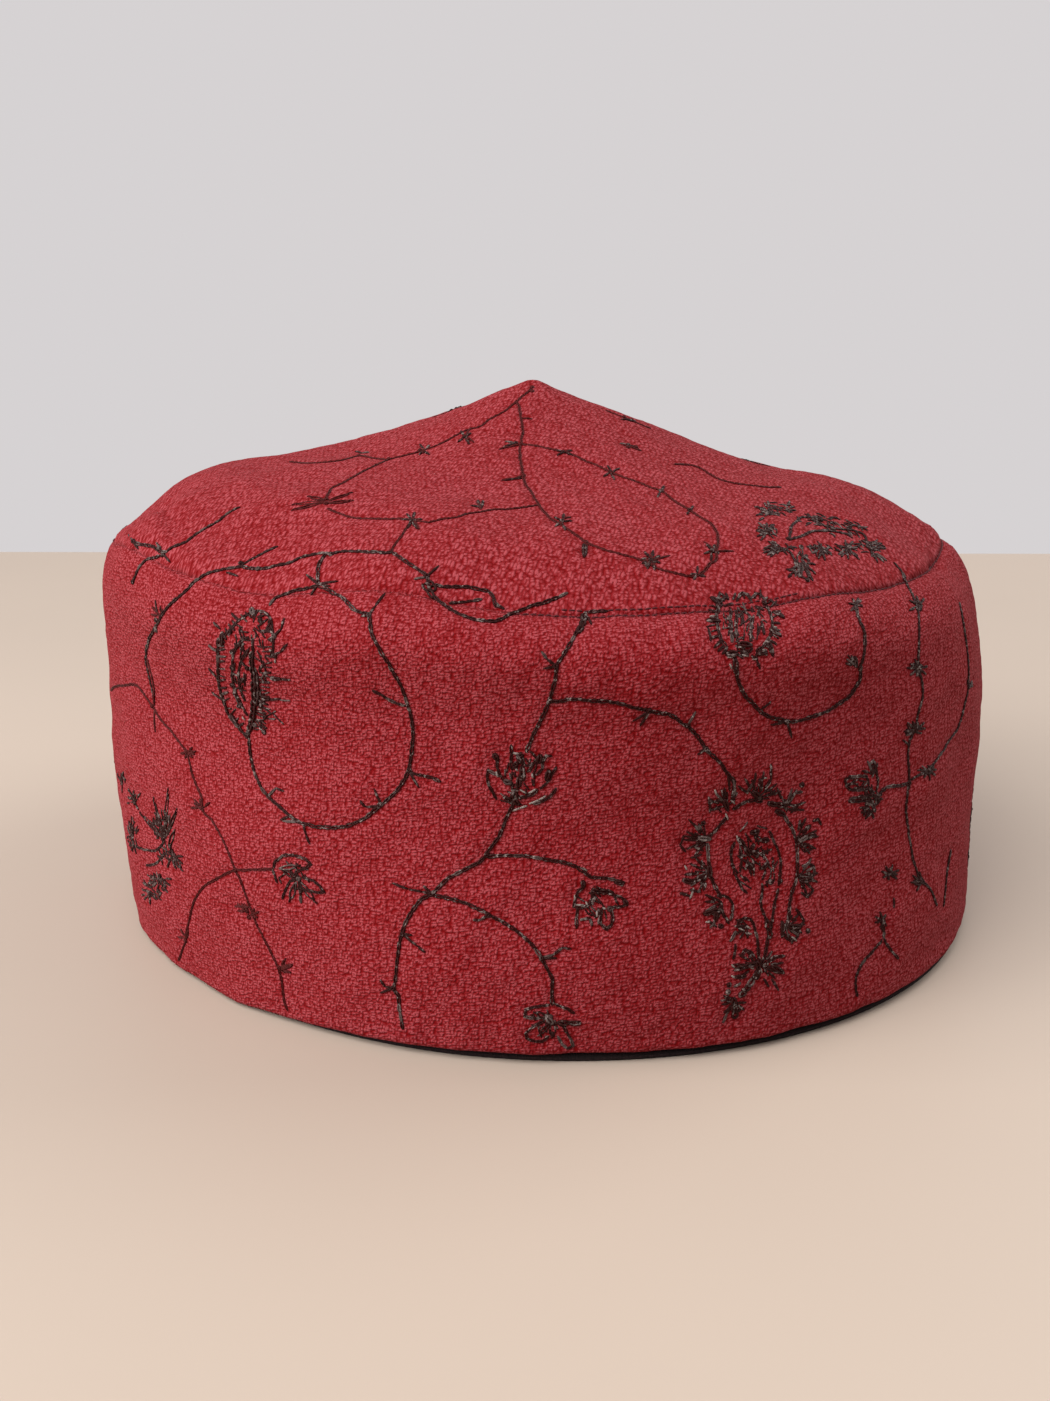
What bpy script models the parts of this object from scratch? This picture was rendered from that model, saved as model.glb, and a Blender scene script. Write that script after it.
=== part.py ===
# An embroidered cloth cap: a tall side band with a rolled shoulder, a soft crown that is tented
# to a blunt peak, and a dark inner band whose lower edge shows below the hem.
# Metres, +Z up. The origin is on the floor under the middle of the cap, and the front faces -Y.
# An azimuth is measured from the front (-Y) towards +X.

import math
from collections import namedtuple

import bmesh
import bpy

# The oval of the band at its widest, and where its long axis points
CAP_LENGTH = 0.191
CAP_WIDTH = 0.181
LONG_AXIS_AZIMUTH = math.radians(38.0)

# Heights above the floor
SEAM_HEIGHT = 0.0773
CROWN_RISE = 0.0312

# Cloth walls
BAND_WALL = 0.003
CROWN_WALL = 0.002
INNER_BAND_WALL = 0.001

# The inner band: how high it goes inside, how far its edge shows below the hem, and how far
# that edge lies inside the hem's outer face
INNER_BAND_HEIGHT = 0.030
EDGE_DROP = 0.0014
EDGE_RECESS = 0.0006

# Clearance between pieces that are sewn together
GAP = 0.0003

# How finely the cloth is divided round the cap
COLUMNS = 90
FULL_TURN = 2.0 * math.pi

# The seam's rise and fall dies out away from it with this power of the distance
SEAM_FADE = 4.0

# The band's sections. height: share of the way from hem to seam. girth: share of the oval at
# its widest. shift: how far the section lies to the right, as a share of CAP_WIDTH.
Section = namedtuple("Section", "height girth shift")
BAND_SECTIONS = [
    Section(height=0.000, girth=0.985, shift=0.001),
    Section(height=0.100, girth=0.987, shift=0.000),
    Section(height=0.250, girth=0.993, shift=-0.001),
    Section(height=0.450, girth=1.000, shift=0.001),
    Section(height=0.620, girth=1.000, shift=-0.002),
    Section(height=0.750, girth=0.993, shift=-0.006),
    Section(height=0.850, girth=0.980, shift=-0.011),
    Section(height=0.920, girth=0.968, shift=-0.014),
    Section(height=0.960, girth=0.9595, shift=-0.0185),
    Section(height=0.985, girth=0.9515, shift=-0.0215),
    Section(height=1.000, girth=0.9375, shift=-0.022),
]

# How far the seam's ring lies behind the hem's ring, as a share of CAP_WIDTH
LEAN_BACK = 0.0065

# The seam's height round the cap. azimuth: degrees. lift: share of SEAM_HEIGHT.
SeamRow = namedtuple("SeamRow", "azimuth lift")
SEAM_ROWS = [
    SeamRow(azimuth=-150.0, lift=0.000),
    SeamRow(azimuth=-105.0, lift=-0.036),
    SeamRow(azimuth=-80.0, lift=-0.004),
    SeamRow(azimuth=-60.0, lift=0.036),
    SeamRow(azimuth=-42.0, lift=0.014),
    SeamRow(azimuth=-31.0, lift=0.002),
    SeamRow(azimuth=-21.0, lift=0.036),
    SeamRow(azimuth=-11.0, lift=0.042),
    SeamRow(azimuth=0.0, lift=0.008),
    SeamRow(azimuth=15.0, lift=-0.001),
    SeamRow(azimuth=40.0, lift=0.003),
    SeamRow(azimuth=60.0, lift=-0.008),
    SeamRow(azimuth=80.0, lift=0.006),
    SeamRow(azimuth=105.0, lift=-0.018),
    SeamRow(azimuth=150.0, lift=0.004),
]

# The crown's rings, from the seam in to the peak. reach: share of the way out from the peak to
# the seam. rise: share of CROWN_RISE. tilt: how much higher the left side is than the right,
# as a share of CROWN_RISE.
Ring = namedtuple("Ring", "reach rise tilt")
CROWN_RINGS = [
    Ring(reach=1.000, rise=0.000, tilt=0.000),
    Ring(reach=0.985, rise=0.052, tilt=0.004),
    Ring(reach=0.940, rise=0.115, tilt=0.014),
    Ring(reach=0.860, rise=0.245, tilt=0.036),
    Ring(reach=0.750, rise=0.355, tilt=0.050),
    Ring(reach=0.600, rise=0.445, tilt=0.045),
    Ring(reach=0.450, rise=0.548, tilt=0.014),
    Ring(reach=0.300, rise=0.692, tilt=0.000),
    Ring(reach=0.150, rise=0.830, tilt=0.000),
    Ring(reach=0.060, rise=0.940, tilt=0.000),
    Ring(reach=0.020, rise=0.985, tilt=0.000),
]

# The peak lies a little to the left of the band's middle and behind it, in shares of CAP_WIDTH
PEAK_SHIFT = -0.010
PEAK_BACK = 0.004

# Dents and swells. azimuth and spread: degrees round the cap. place and reach: shares of the
# height of the band, or of the way out from the peak. depth: share of the wall of the piece,
# outward, so that a dent is below zero.
Fold = namedtuple("Fold", "azimuth spread place reach depth")
BAND_FOLDS = [
    Fold(azimuth=0.0, spread=48.0, place=0.91, reach=0.07, depth=0.45),
    Fold(azimuth=12.0, spread=36.0, place=0.77, reach=0.08, depth=-0.15),
    Fold(azimuth=68.0, spread=5.0, place=0.93, reach=0.10, depth=-0.35),
    Fold(azimuth=-40.0, spread=14.0, place=0.50, reach=0.22, depth=0.20),
    Fold(azimuth=35.0, spread=12.0, place=0.40, reach=0.25, depth=-0.20),
    Fold(azimuth=128.0, spread=16.0, place=0.45, reach=0.25, depth=-0.25),
    Fold(azimuth=-135.0, spread=18.0, place=0.60, reach=0.25, depth=0.25),
    Fold(azimuth=175.0, spread=14.0, place=0.80, reach=0.12, depth=0.20),
]
CROWN_FOLDS = [
    Fold(azimuth=-72.0, spread=5.0, place=0.88, reach=0.09, depth=-0.50),
    Fold(azimuth=-63.0, spread=5.0, place=0.90, reach=0.08, depth=0.35),
    Fold(azimuth=66.0, spread=5.0, place=0.92, reach=0.07, depth=-0.50),
    Fold(azimuth=-30.0, spread=20.0, place=0.80, reach=0.14, depth=0.40),
    Fold(azimuth=20.0, spread=28.0, place=0.86, reach=0.10, depth=0.30),
    Fold(azimuth=120.0, spread=9.0, place=0.80, reach=0.18, depth=-0.50),
    Fold(azimuth=-125.0, spread=10.0, place=0.78, reach=0.18, depth=-0.50),
    Fold(azimuth=165.0, spread=16.0, place=0.70, reach=0.20, depth=0.40),
]

# Cloth colours: linear red, green and blue, with roughness
RED_WOOL = (0.330, 0.022, 0.032, 1.0)
DARK_CLOTH = (0.022, 0.010, 0.010, 1.0)
CLOTH_ROUGHNESS = 0.9


def smooth_value(places, values, at):
    # A smooth curve through the rows of a table, flat past its two ends
    if at <= places[0]:
        return values[0]
    if at >= places[-1]:
        return values[-1]
    last = len(places) - 1
    row = max(i for i in range(last) if places[i] <= at)
    slopes = []
    for i in (row, row + 1):
        before = max(i - 1, 0)
        after = min(i + 1, last)
        slopes.append((values[after] - values[before]) / (places[after] - places[before]))
    step = places[row + 1] - places[row]
    share = (at - places[row]) / step
    square = share * share
    cube = square * share
    return ((2.0 * cube - 3.0 * square + 1.0) * values[row]
            + (cube - 2.0 * square + share) * step * slopes[0]
            + (3.0 * square - 2.0 * cube) * values[row + 1]
            + (cube - square) * step * slopes[1])


def seam_lift(azimuth):
    # The table is laid out once more on each side, so that the curve closes on itself
    degrees = math.degrees(azimuth)
    places = []
    lifts = []
    for turn in (-360.0, 0.0, 360.0):
        places.extend(row.azimuth + turn for row in SEAM_ROWS)
        lifts.extend(row.lift for row in SEAM_ROWS)
    return SEAM_HEIGHT * smooth_value(places, lifts, degrees)


def fold_depth(folds, azimuth, place):
    # The sum of soft bumps at this place, as a share of the wall
    total = 0.0
    for fold in folds:
        turn = azimuth - math.radians(fold.azimuth)
        turn = (turn + math.pi) % FULL_TURN - math.pi
        across = turn / math.radians(fold.spread)
        along = (place - fold.place) / fold.reach
        total += fold.depth * math.exp(-across * across - along * along)
    return total


def oval_radius(azimuth):
    # Half the width of the oval in this direction
    turn = azimuth - LONG_AXIS_AZIMUTH
    along = math.cos(turn) / (CAP_LENGTH / 2.0)
    across = math.sin(turn) / (CAP_WIDTH / 2.0)
    return 1.0 / math.hypot(along, across)


def hem_height():
    return EDGE_DROP + GAP


def band_point(azimuth, share, inset=0.0):
    # A point on the band's outer face, or inside it by an inset
    heights = [section.height for section in BAND_SECTIONS]
    girth = smooth_value(heights, [section.girth for section in BAND_SECTIONS], share)
    shift = smooth_value(heights, [section.shift for section in BAND_SECTIONS], share)
    swell = BAND_WALL * fold_depth(BAND_FOLDS, azimuth, share)
    radius = oval_radius(azimuth) * girth + swell - inset
    x = radius * math.sin(azimuth) + CAP_WIDTH * shift
    y = -radius * math.cos(azimuth) + CAP_WIDTH * LEAN_BACK * share
    seam = SEAM_HEIGHT + seam_lift(azimuth) * share ** SEAM_FADE
    z = hem_height() + (seam - hem_height()) * share
    return (x, y, z)


def crown_point(azimuth, reach):
    # A point on the crown's outer face, from the peak (0) out to the seam (1)
    reaches = [ring.reach for ring in reversed(CROWN_RINGS)]
    rises = [ring.rise for ring in reversed(CROWN_RINGS)]
    tilts = [ring.tilt for ring in reversed(CROWN_RINGS)]
    rise = smooth_value([0.0] + reaches, [1.0] + rises, reach)
    tilt = smooth_value(reaches, tilts, reach)
    seam_x, seam_y, seam_z = band_point(azimuth, 1.0)
    peak_x = CAP_WIDTH * PEAK_SHIFT
    peak_y = CAP_WIDTH * PEAK_BACK
    x = peak_x + (seam_x - peak_x) * reach
    y = peak_y + (seam_y - peak_y) * reach
    z = SEAM_HEIGHT + (seam_z - SEAM_HEIGHT) * reach ** SEAM_FADE
    z += CROWN_RISE * (rise - tilt * math.sin(azimuth))
    z += CROWN_WALL * fold_depth(CROWN_FOLDS, azimuth, reach)
    return (x, y, z)


def column_azimuths():
    return [FULL_TURN * i / COLUMNS - math.pi for i in range(COLUMNS)]


def plan_centre():
    # The middle of the band's outline seen from above, which the origin is moved to
    points = []
    for section in BAND_SECTIONS:
        points.extend(band_point(azimuth, section.height) for azimuth in column_azimuths())
    xs = [point[0] for point in points]
    ys = [point[1] for point in points]
    return ((min(xs) + max(xs)) / 2.0, (min(ys) + max(ys)) / 2.0)


def cloth_material(name, colour):
    material = bpy.data.materials.new(name)
    material.use_nodes = True
    shader = material.node_tree.nodes["Principled BSDF"]
    shader.inputs["Base Color"].default_value = colour
    shader.inputs["Roughness"].default_value = CLOTH_ROUGHNESS
    shader.inputs["Metallic"].default_value = 0.0
    return material


def loft(name, rows, tip, closed, material, collection):
    # Faces between rings of points. A tip closes the last ring, and a closed loft goes on from
    # its last ring to its first.
    shape = bmesh.new()
    rings = [[shape.verts.new(point) for point in row] for row in rows]
    pairs = list(zip(rings, rings[1:]))
    if closed:
        pairs.append((rings[-1], rings[0]))
    for lower, upper in pairs:
        for i in range(COLUMNS):
            j = (i + 1) % COLUMNS
            shape.faces.new((lower[i], lower[j], upper[j], upper[i]))
    if tip is not None:
        top = shape.verts.new(tip)
        for i in range(COLUMNS):
            shape.faces.new((rings[-1][i], rings[-1][(i + 1) % COLUMNS], top))
    for face in shape.faces:
        face.smooth = True
    mesh = bpy.data.meshes.new(name)
    shape.to_mesh(mesh)
    shape.free()
    mesh.materials.append(material)
    thing = bpy.data.objects.new(name, mesh)
    collection.objects.link(thing)
    return thing


def thicken(thing, wall):
    # Thickness goes inward from the outer face
    solidify = thing.modifiers.new("wall", "SOLIDIFY")
    solidify.thickness = wall
    solidify.offset = -1.0


def make_band(collection, material):
    azimuths = column_azimuths()
    rows = []
    for section in BAND_SECTIONS:
        rows.append([band_point(azimuth, section.height) for azimuth in azimuths])
    band = loft("band", rows, None, False, material, collection)
    thicken(band, BAND_WALL)


def make_crown(collection, material):
    # The first ring stands back from the band's by the clearance
    azimuths = column_azimuths()
    edge = 1.0 - 2.0 * GAP / CAP_WIDTH
    rows = []
    for ring in CROWN_RINGS:
        reach = min(ring.reach, edge)
        rows.append([crown_point(azimuth, reach) for azimuth in azimuths])
    crown = loft("crown", rows, crown_point(0.0, 0.0), False, material, collection)
    thicken(crown, CROWN_WALL)


def make_inner_band(collection, material):
    # An L in section: a thin strip against the band's inner face, with a foot that turns out
    # under the hem and shows there
    strip = BAND_WALL + GAP
    inside = strip + INNER_BAND_WALL
    middle = (EDGE_DROP + INNER_BAND_HEIGHT) / 2.0
    section = [
        (EDGE_RECESS, 0.0),
        (EDGE_RECESS, EDGE_DROP),
        (strip, EDGE_DROP),
        (strip, middle),
        (strip, INNER_BAND_HEIGHT),
        (inside, INNER_BAND_HEIGHT),
        (inside, middle),
        (inside, 0.0),
    ]
    rows = []
    for inset, height in section:
        share = max(height - hem_height(), 0.0) / (SEAM_HEIGHT - hem_height())
        row = []
        for azimuth in column_azimuths():
            x, y, z = band_point(azimuth, share, inset)
            row.append((x, y, height))
        rows.append(row)
    loft("inner_band", rows, None, True, material, collection)


def main():
    for thing in list(bpy.data.objects):
        bpy.data.objects.remove(thing, do_unlink=True)
    collection = bpy.data.collections.new("embroidered_cap")
    bpy.context.scene.collection.children.link(collection)
    red = cloth_material("red_wool", RED_WOOL)
    dark = cloth_material("dark_cloth", DARK_CLOTH)
    make_band(collection, red)
    make_crown(collection, red)
    make_inner_band(collection, dark)
    centre_x, centre_y = plan_centre()
    for thing in collection.objects:
        thing.location = (-centre_x, -centre_y, 0.0)


main()
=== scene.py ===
import math

import bpy
import numpy as np
from mathutils import Euler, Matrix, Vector
from mathutils.bvhtree import BVHTree
from mathutils.kdtree import KDTree


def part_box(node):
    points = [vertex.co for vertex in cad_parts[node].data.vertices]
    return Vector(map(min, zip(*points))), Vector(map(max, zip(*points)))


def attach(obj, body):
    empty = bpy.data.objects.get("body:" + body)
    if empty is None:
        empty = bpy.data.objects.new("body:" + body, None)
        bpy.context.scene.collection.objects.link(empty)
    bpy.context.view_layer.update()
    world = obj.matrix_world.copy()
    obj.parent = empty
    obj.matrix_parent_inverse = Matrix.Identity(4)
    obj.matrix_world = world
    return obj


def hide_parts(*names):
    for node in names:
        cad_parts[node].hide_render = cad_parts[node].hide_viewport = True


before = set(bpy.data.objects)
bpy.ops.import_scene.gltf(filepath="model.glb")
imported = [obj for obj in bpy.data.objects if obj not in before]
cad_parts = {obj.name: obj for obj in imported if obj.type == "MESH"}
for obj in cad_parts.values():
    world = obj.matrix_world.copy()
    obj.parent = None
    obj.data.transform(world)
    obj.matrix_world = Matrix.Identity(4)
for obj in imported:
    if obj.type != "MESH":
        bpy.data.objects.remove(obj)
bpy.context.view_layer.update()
print("frame loaded")

# the camera stands where the photograph was taken
viewer = {
    "place": (0.0001, -0.3402, 0.1320),
    "lookDown": 15.29,  # degrees
    "turnLeft": 0.58,
    "photoWidth": 1050,
    "photoHeight": 1401,
    "focalPixels": 1600.0,
    "sensorWidth": 36.0,
}


def makeCamera():
    lens = bpy.data.cameras.new("viewer")
    lens.sensor_width = viewer["sensorWidth"]
    lens.lens = viewer["focalPixels"] / viewer["photoHeight"] * viewer["sensorWidth"]
    camera = bpy.data.objects.new("viewer", lens)
    camera.location = viewer["place"]
    camera.rotation_euler = cameraTurn()
    bpy.context.scene.collection.objects.link(camera)
    bpy.context.scene.camera = camera


def cameraTurn():
    return Euler((math.radians(90.0 - viewer["lookDown"]), 0.0, math.radians(viewer["turnLeft"])))


def sightLine(x, y):
    # the way that a pixel of the photograph looks
    across = (x - viewer["photoWidth"] / 2.0) / viewer["focalPixels"]
    up = (viewer["photoHeight"] / 2.0 - y) / viewer["focalPixels"]
    return (cameraTurn().to_matrix() @ Vector((across, up, -1.0))).normalized()


makeCamera()
print("camera placed")


# curves, grids and noise
def smoothCurve(values, count, closed=False):
    # count places on a smooth curve through the rows of values
    values = np.asarray(values, float)
    total = len(values)
    if closed:
        places = np.arange(count) * total / count
    else:
        places = np.linspace(0.0, total - 1.0, count)
    start = np.floor(places).astype(int)
    if not closed:
        start = np.minimum(start, max(total - 2, 0))
    share = (places - start).reshape((-1,) + (1,) * (values.ndim - 1))

    def row(index):
        return values[index % total] if closed else values[np.clip(index, 0, total - 1)]

    a, b, c, d = row(start - 1), row(start), row(start + 1), row(start + 2)
    bend = 2.0 * a - 5.0 * b + 4.0 * c - d + share * (3.0 * (b - c) + d - a)
    return b + 0.5 * share * (c - a + share * bend)


def softened(grid, passes):
    # averages neighbours round the cap and up it, and keeps the first and last rows
    for _ in range(passes):
        grid = (np.roll(grid, 1, 1) + 2.0 * grid + np.roll(grid, -1, 1)) / 4.0
        grid[1:-1] = (grid[:-2] + 2.0 * grid[1:-1] + grid[2:]) / 4.0
    return grid


def unit(ways):
    # the same ways with length one
    return ways / np.maximum(np.linalg.norm(ways, axis=-1, keepdims=True), 1e-12)


def gridNormals(grid):
    return unit(np.cross(np.roll(grid, -1, 1) - np.roll(grid, 1, 1), np.gradient(grid, axis=0)))


def ringFaces(rows, columns, wrapRows=False):
    # quads of a grid that closes round the cap, and the row and column of each of their corners
    row, column = np.meshgrid(np.arange(rows if wrapRows else rows - 1), np.arange(columns), indexing="ij")
    row, column = row.ravel(), column.ravel()
    rowCorners = np.stack([row, row, row + 1, row + 1], axis=1)
    columnCorners = np.stack([column, column + 1, column + 1, column], axis=1)
    return (rowCorners % rows) * columns + columnCorners % columns, rowCorners, columnCorners


def ripples(points, shortest, longest, seed, waves=28):
    # even, smooth noise: sine waves in seeded directions, with about unit spread
    chance = np.random.default_rng(seed)
    total = np.zeros(points.shape[:-1])
    for _ in range(waves):
        way = unit(chance.normal(size=3))
        length = chance.uniform(shortest, longest)
        total += np.sin(points @ (way * 2.0 * math.pi / length) + chance.uniform(0.0, 2.0 * math.pi))
    return total / math.sqrt(waves / 2.0)


def turned(azimuth):
    # level direction at an azimuth, which is measured from the front towards the right
    return Vector((math.sin(azimuth), -math.cos(azimuth), 0.0))


def azimuthOf(points):
    return np.arctan2(points[..., 0], -points[..., 1])


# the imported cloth, read as grids
cloth = {
    "readColumns": 180,
    "readRows": 60,
    "readRings": 48,
    "readFrom": 0.2,  # readings start this far from the cap's middle
    "seamBetween": (0.068, 0.086),  # heights that the seam lies between
    "seamHalvings": 16,
    "softening": 2,
    "hemClear": 0.0001,  # the lowest reading is taken this far above the hem's edge
    "columns": 600,
    "bandRows": 98,
    "crownRings": 84,
    "innerRows": 12,
    "bandWall": 0.0030,
    "crownWall": 0.0020,
    "thinnest": 0.0011,
    "seamWall": 0.0011,  # both walls are pressed thin at the seam
    "thinReach": 0.012,
    "hemRound": 0.0012,
    "hemSteps": 13,
    "hemWayRow": 3,  # the hem rises towards this row
    "hemFaceRow": 2,  # and faces the way that this one does
    "girthRow": 40,  # the cut is measured round this row
    "insideHeight": 0.035,  # a place well inside the cap, on its middle line
    "peakLift": 0.00012,
    "tip": 0.012,  # share of the crown that the last ring leaves open for the peak
}


def cadTree(node):
    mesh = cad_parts[node].data
    corners = [corner.co.copy() for corner in mesh.vertices]
    return BVHTree.FromPolygons(corners, [tuple(face.vertices) for face in mesh.polygons])


def readSeam(bandTree, crownTree, azimuth):
    # the highest place in this direction where the band is still the outermost cloth
    low, high = cloth["seamBetween"]
    far = turned(azimuth) * cloth["readFrom"]
    found = None
    for _ in range(cloth["seamHalvings"]):
        middle = (low + high) / 2.0
        start = Vector((far.x, far.y, middle))
        onBand = bandTree.ray_cast(start, -turned(azimuth))
        onCrown = crownTree.ray_cast(start, -turned(azimuth))
        if onBand[0] is not None and (onCrown[0] is None or onBand[3] < onCrown[3]):
            low = middle
            found = onBand[0]
        else:
            high = middle
    return found


def readCloth():
    bandTree, crownTree = cadTree("band"), cadTree("crown")
    azimuths = [2.0 * math.pi * i / cloth["readColumns"] - math.pi for i in range(cloth["readColumns"])]
    seam = [readSeam(bandTree, crownTree, azimuth) for azimuth in azimuths]
    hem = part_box("band")[0].z + cloth["hemClear"]
    band = np.zeros((cloth["readRows"], cloth["readColumns"], 3))
    for column, azimuth in enumerate(azimuths):
        far = turned(azimuth) * cloth["readFrom"]
        for row in range(cloth["readRows"]):
            share = row / (cloth["readRows"] - 1)
            height = hem + (seam[column].z - hem) * share
            hit = bandTree.ray_cast(Vector((far.x, far.y, height)), -turned(azimuth))[0]
            band[row, column] = seam[column] if share == 1.0 else hit
    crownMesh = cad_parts["crown"].data
    peak = max((corner.co for corner in crownMesh.vertices), key=lambda place: place.z)
    crown = np.zeros((cloth["readRings"], cloth["readColumns"], 3))
    for column in range(cloth["readColumns"]):
        for ring in range(cloth["readRings"]):
            reach = 1.0 + (cloth["tip"] - 1.0) * ring / (cloth["readRings"] - 1)
            place = peak.lerp(seam[column], reach)
            above = Vector((place.x, place.y, cloth["readFrom"]))
            hit = crownTree.ray_cast(above, Vector((0.0, 0.0, -1.0)))[0]
            crown[ring, column] = seam[column] if ring == 0 or hit is None else hit
    return softened(band, cloth["softening"]), softened(crown, cloth["softening"])


def refined(grid, rows, columns):
    across = np.swapaxes(smoothCurve(np.swapaxes(grid, 0, 1), columns, closed=True), 0, 1)
    return smoothCurve(across, rows)


bandRead, crownRead = readCloth()
bandGrid = refined(bandRead, cloth["bandRows"], cloth["columns"])
crownGrid = refined(crownRead, cloth["crownRings"], cloth["columns"])
print("cloth read from the frame", bandGrid.shape, crownGrid.shape)


def treeOfGrids(grids):
    # one search tree over grids that close round the cap
    corners, faces = [], []
    for grid in grids:
        rows, columns = grid.shape[:2]
        faces += (ringFaces(rows, columns)[0] + len(corners)).tolist()
        corners += grid.reshape(-1, 3).tolist()
    return BVHTree.FromPolygons(corners, faces)


def seenAt(tree, x, y):
    # where the sight line of a pixel meets the cloth
    return tree.ray_cast(Vector(viewer["place"]), sightLine(x, y))[0]


def seenLine(tree, points, step=1.5):
    # a smooth line through pixels, dropped on the cloth
    points = np.asarray(points, float)
    length = np.linalg.norm(np.diff(points, axis=0), axis=1).sum()
    count = max(int(length / step), 2)
    hits = [seenAt(tree, x, y) for x, y in smoothCurve(points, count)]
    return np.array([tuple(hit) for hit in hits if hit is not None])


# relief of the cloth: creases, swells, the seam's groove
relief = {
    "slow": (0.00022, 0.018, 0.040),  # height, shortest and longest wave in metres
    "middle": (0.00007, 0.006, 0.012),
    "quick": (0.00004, 0.0022, 0.0045),
    "pucker": (0.00007, 0.0035, 0.0075),
    "grooveDepth": 0.00075,
    "grooveWidth": 0.0011,
    "lipHeight": 0.00022,
    "lipAway": 0.0022,
    "lipWidth": 0.0011,
    "bandLip": 0.6,  # share of the lip that stands on the band, and on the crown
    "crownLip": 1.0,
    "puckerReach": 0.0045,
    "seed": 11,
    "puckerSeed": 31,
    "creaseMargin": 0.015,  # a crease is felt no further than this from its line
    # how strongly the groove shows, by azimuth in degrees
    "grooveAt": [(-180, 0.8), (-110, 0.6), (-80, 0.3), (-45, 0.1), (-12, 0.1), (2, 0.3), (25, 0.4), (40, 0.9),
                 (60, 1.0), (110, 0.8), (180, 0.8)],
}
# lines in the photograph's pixels, with depth and half width in millimetres; a ridge has a depth below zero
creases = {
    "leftShoulderDown": ([(162, 504), (167, 515), (174, 530)], 0.7, 1.5),
    "leftShoulderRidge": ([(150, 514), (156, 524), (162, 536)], -0.4, 2.5),
    "underLeftKnot": ([(168, 560), (176, 569), (190, 582)], 0.5, 1.5),
    "leftSeamRidge": ([(186, 556), (214, 560), (244, 566)], -0.35, 2.0),
    "rightShoulder": ([(934, 538), (936, 552), (938, 566)], 0.8, 1.6),
    "rightLow": ([(905, 962), (930, 948), (958, 930)], 0.4, 3.0),
    "rightMiddle": ([(842, 700), (880, 735), (905, 760)], 0.5, 5.0),
    "rightMiddleRidge": ([(845, 820), (880, 803), (915, 790), (942, 775)], -0.6, 5.0),
}


def distanceTo(lineTree, points):
    flat = points.reshape(-1, 3)
    near = np.array([lineTree.find(point)[2] for point in flat])
    return near.reshape(points.shape[:-1])


def pointTree(points):
    tree = KDTree(len(points))
    for index, point in enumerate(points):
        tree.insert(point, index)
    tree.balance()
    return tree


def creased(grids, tree):
    # presses the charted creases into the grids
    out = [grid.copy() for grid in grids]
    for line, depth, width in creases.values():
        path = seenLine(tree, line)
        lineTree = pointTree(path)
        low, high = path.min(0) - relief["creaseMargin"], path.max(0) + relief["creaseMargin"]
        for index, grid in enumerate(grids):
            inside = np.all((grid > low) & (grid < high), axis=2)
            if not inside.any():
                continue
            away = distanceTo(lineTree, grid[inside])
            press = depth / 1000.0 * np.exp(-(away / (width / 1000.0)) ** 2)
            out[index][inside] -= gridNormals(grid)[inside] * press[:, None]
    return out


def walked(grid):
    # how far each row is from the first along the cloth
    steps = np.linalg.norm(np.diff(grid, axis=0), axis=2)
    return np.concatenate([np.zeros((1, grid.shape[1])), np.cumsum(steps, axis=0)])


def textured(grid, fromSeam, lipShare):
    # swells, the groove at the seam with a soft lip beside it, and puckers that run into it
    strength = tableAt(relief["grooveAt"], np.degrees(azimuthOf(grid)))
    height = np.zeros(grid.shape[:2])
    for seed, name in enumerate(("slow", "middle", "quick")):
        size, shortest, longest = relief[name]
        height += size * ripples(grid, shortest, longest, seed + relief["seed"])
    height -= relief["grooveDepth"] * strength * np.exp(-(fromSeam / relief["grooveWidth"]) ** 2)
    away = (fromSeam - relief["lipAway"]) / relief["lipWidth"]
    height += relief["lipHeight"] * lipShare * strength * np.exp(-away ** 2)
    level = grid * np.array([1.0, 1.0, 0.0])  # the same pucker from lip to lip
    size, shortest, longest = relief["pucker"]
    pucker = ripples(level, shortest, longest, relief["puckerSeed"])
    height += size * strength * pucker * np.exp(-(fromSeam / relief["puckerReach"]) ** 2)
    return grid + gridNormals(grid) * height[..., None]


# the rolled shoulder: how softly the band turns over into the crown, and where the hem sits lower
shoulder = {
    # azimuth in degrees and softness in millimetres
    "softness": [(-180, 3.0), (-120, 4.0), (-85, 4.5), (-55, 4.0), (-25, 2.0), (20, 2.0), (50, 3.0),
                 (85, 4.0), (120, 4.0), (180, 3.0)],
    "reach": 0.012,  # metres from the seam where the softening fades
    "farthest": 0.0192,  # and where it ends
    # places where the cloth stands further out: azimuth, millimetres above the seam, how far out it stands,
    # and how far that spreads in degrees and millimetres
    "fuller": [(-88, 20, 1.7, 28, 10), (-55, 38, 0.6, 25, 12), (82, 20, 1.4, 28, 12), (60, 36, 0.5, 30, 14),
               (-90, -35, 0.7, 28, 34), (84, -16, 0.6, 28, 22), (5, 0, -1.2, 50, 6), (8, -8, 2.2, 56, 7),
               (8, -14, 1.0, 56, 11), (12, -38, -2.8, 54, 17), (-44, -26, -2.6, 22, 13), (-50, 3, 1.0, 24, 9),
               (4, -70, 1.2, 50, 16)],
    # azimuth in degrees and millimetres that the hem hangs lower there
    "hemDrop": [(-180, 0.3), (-110, 0.9), (-62, 1.35), (-48, 1.4), (-38, 1.25), (-26, 0.7), (-10, 0.1),
                (0, 0.0), (60, 0.0), (100, 0.2), (180, 0.3)],
    "dropReach": 0.022,
}


def tableAt(table, azimuths):
    table = np.array(table, float)
    return np.interp(azimuths, table[:, 0], table[:, 1])


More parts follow.
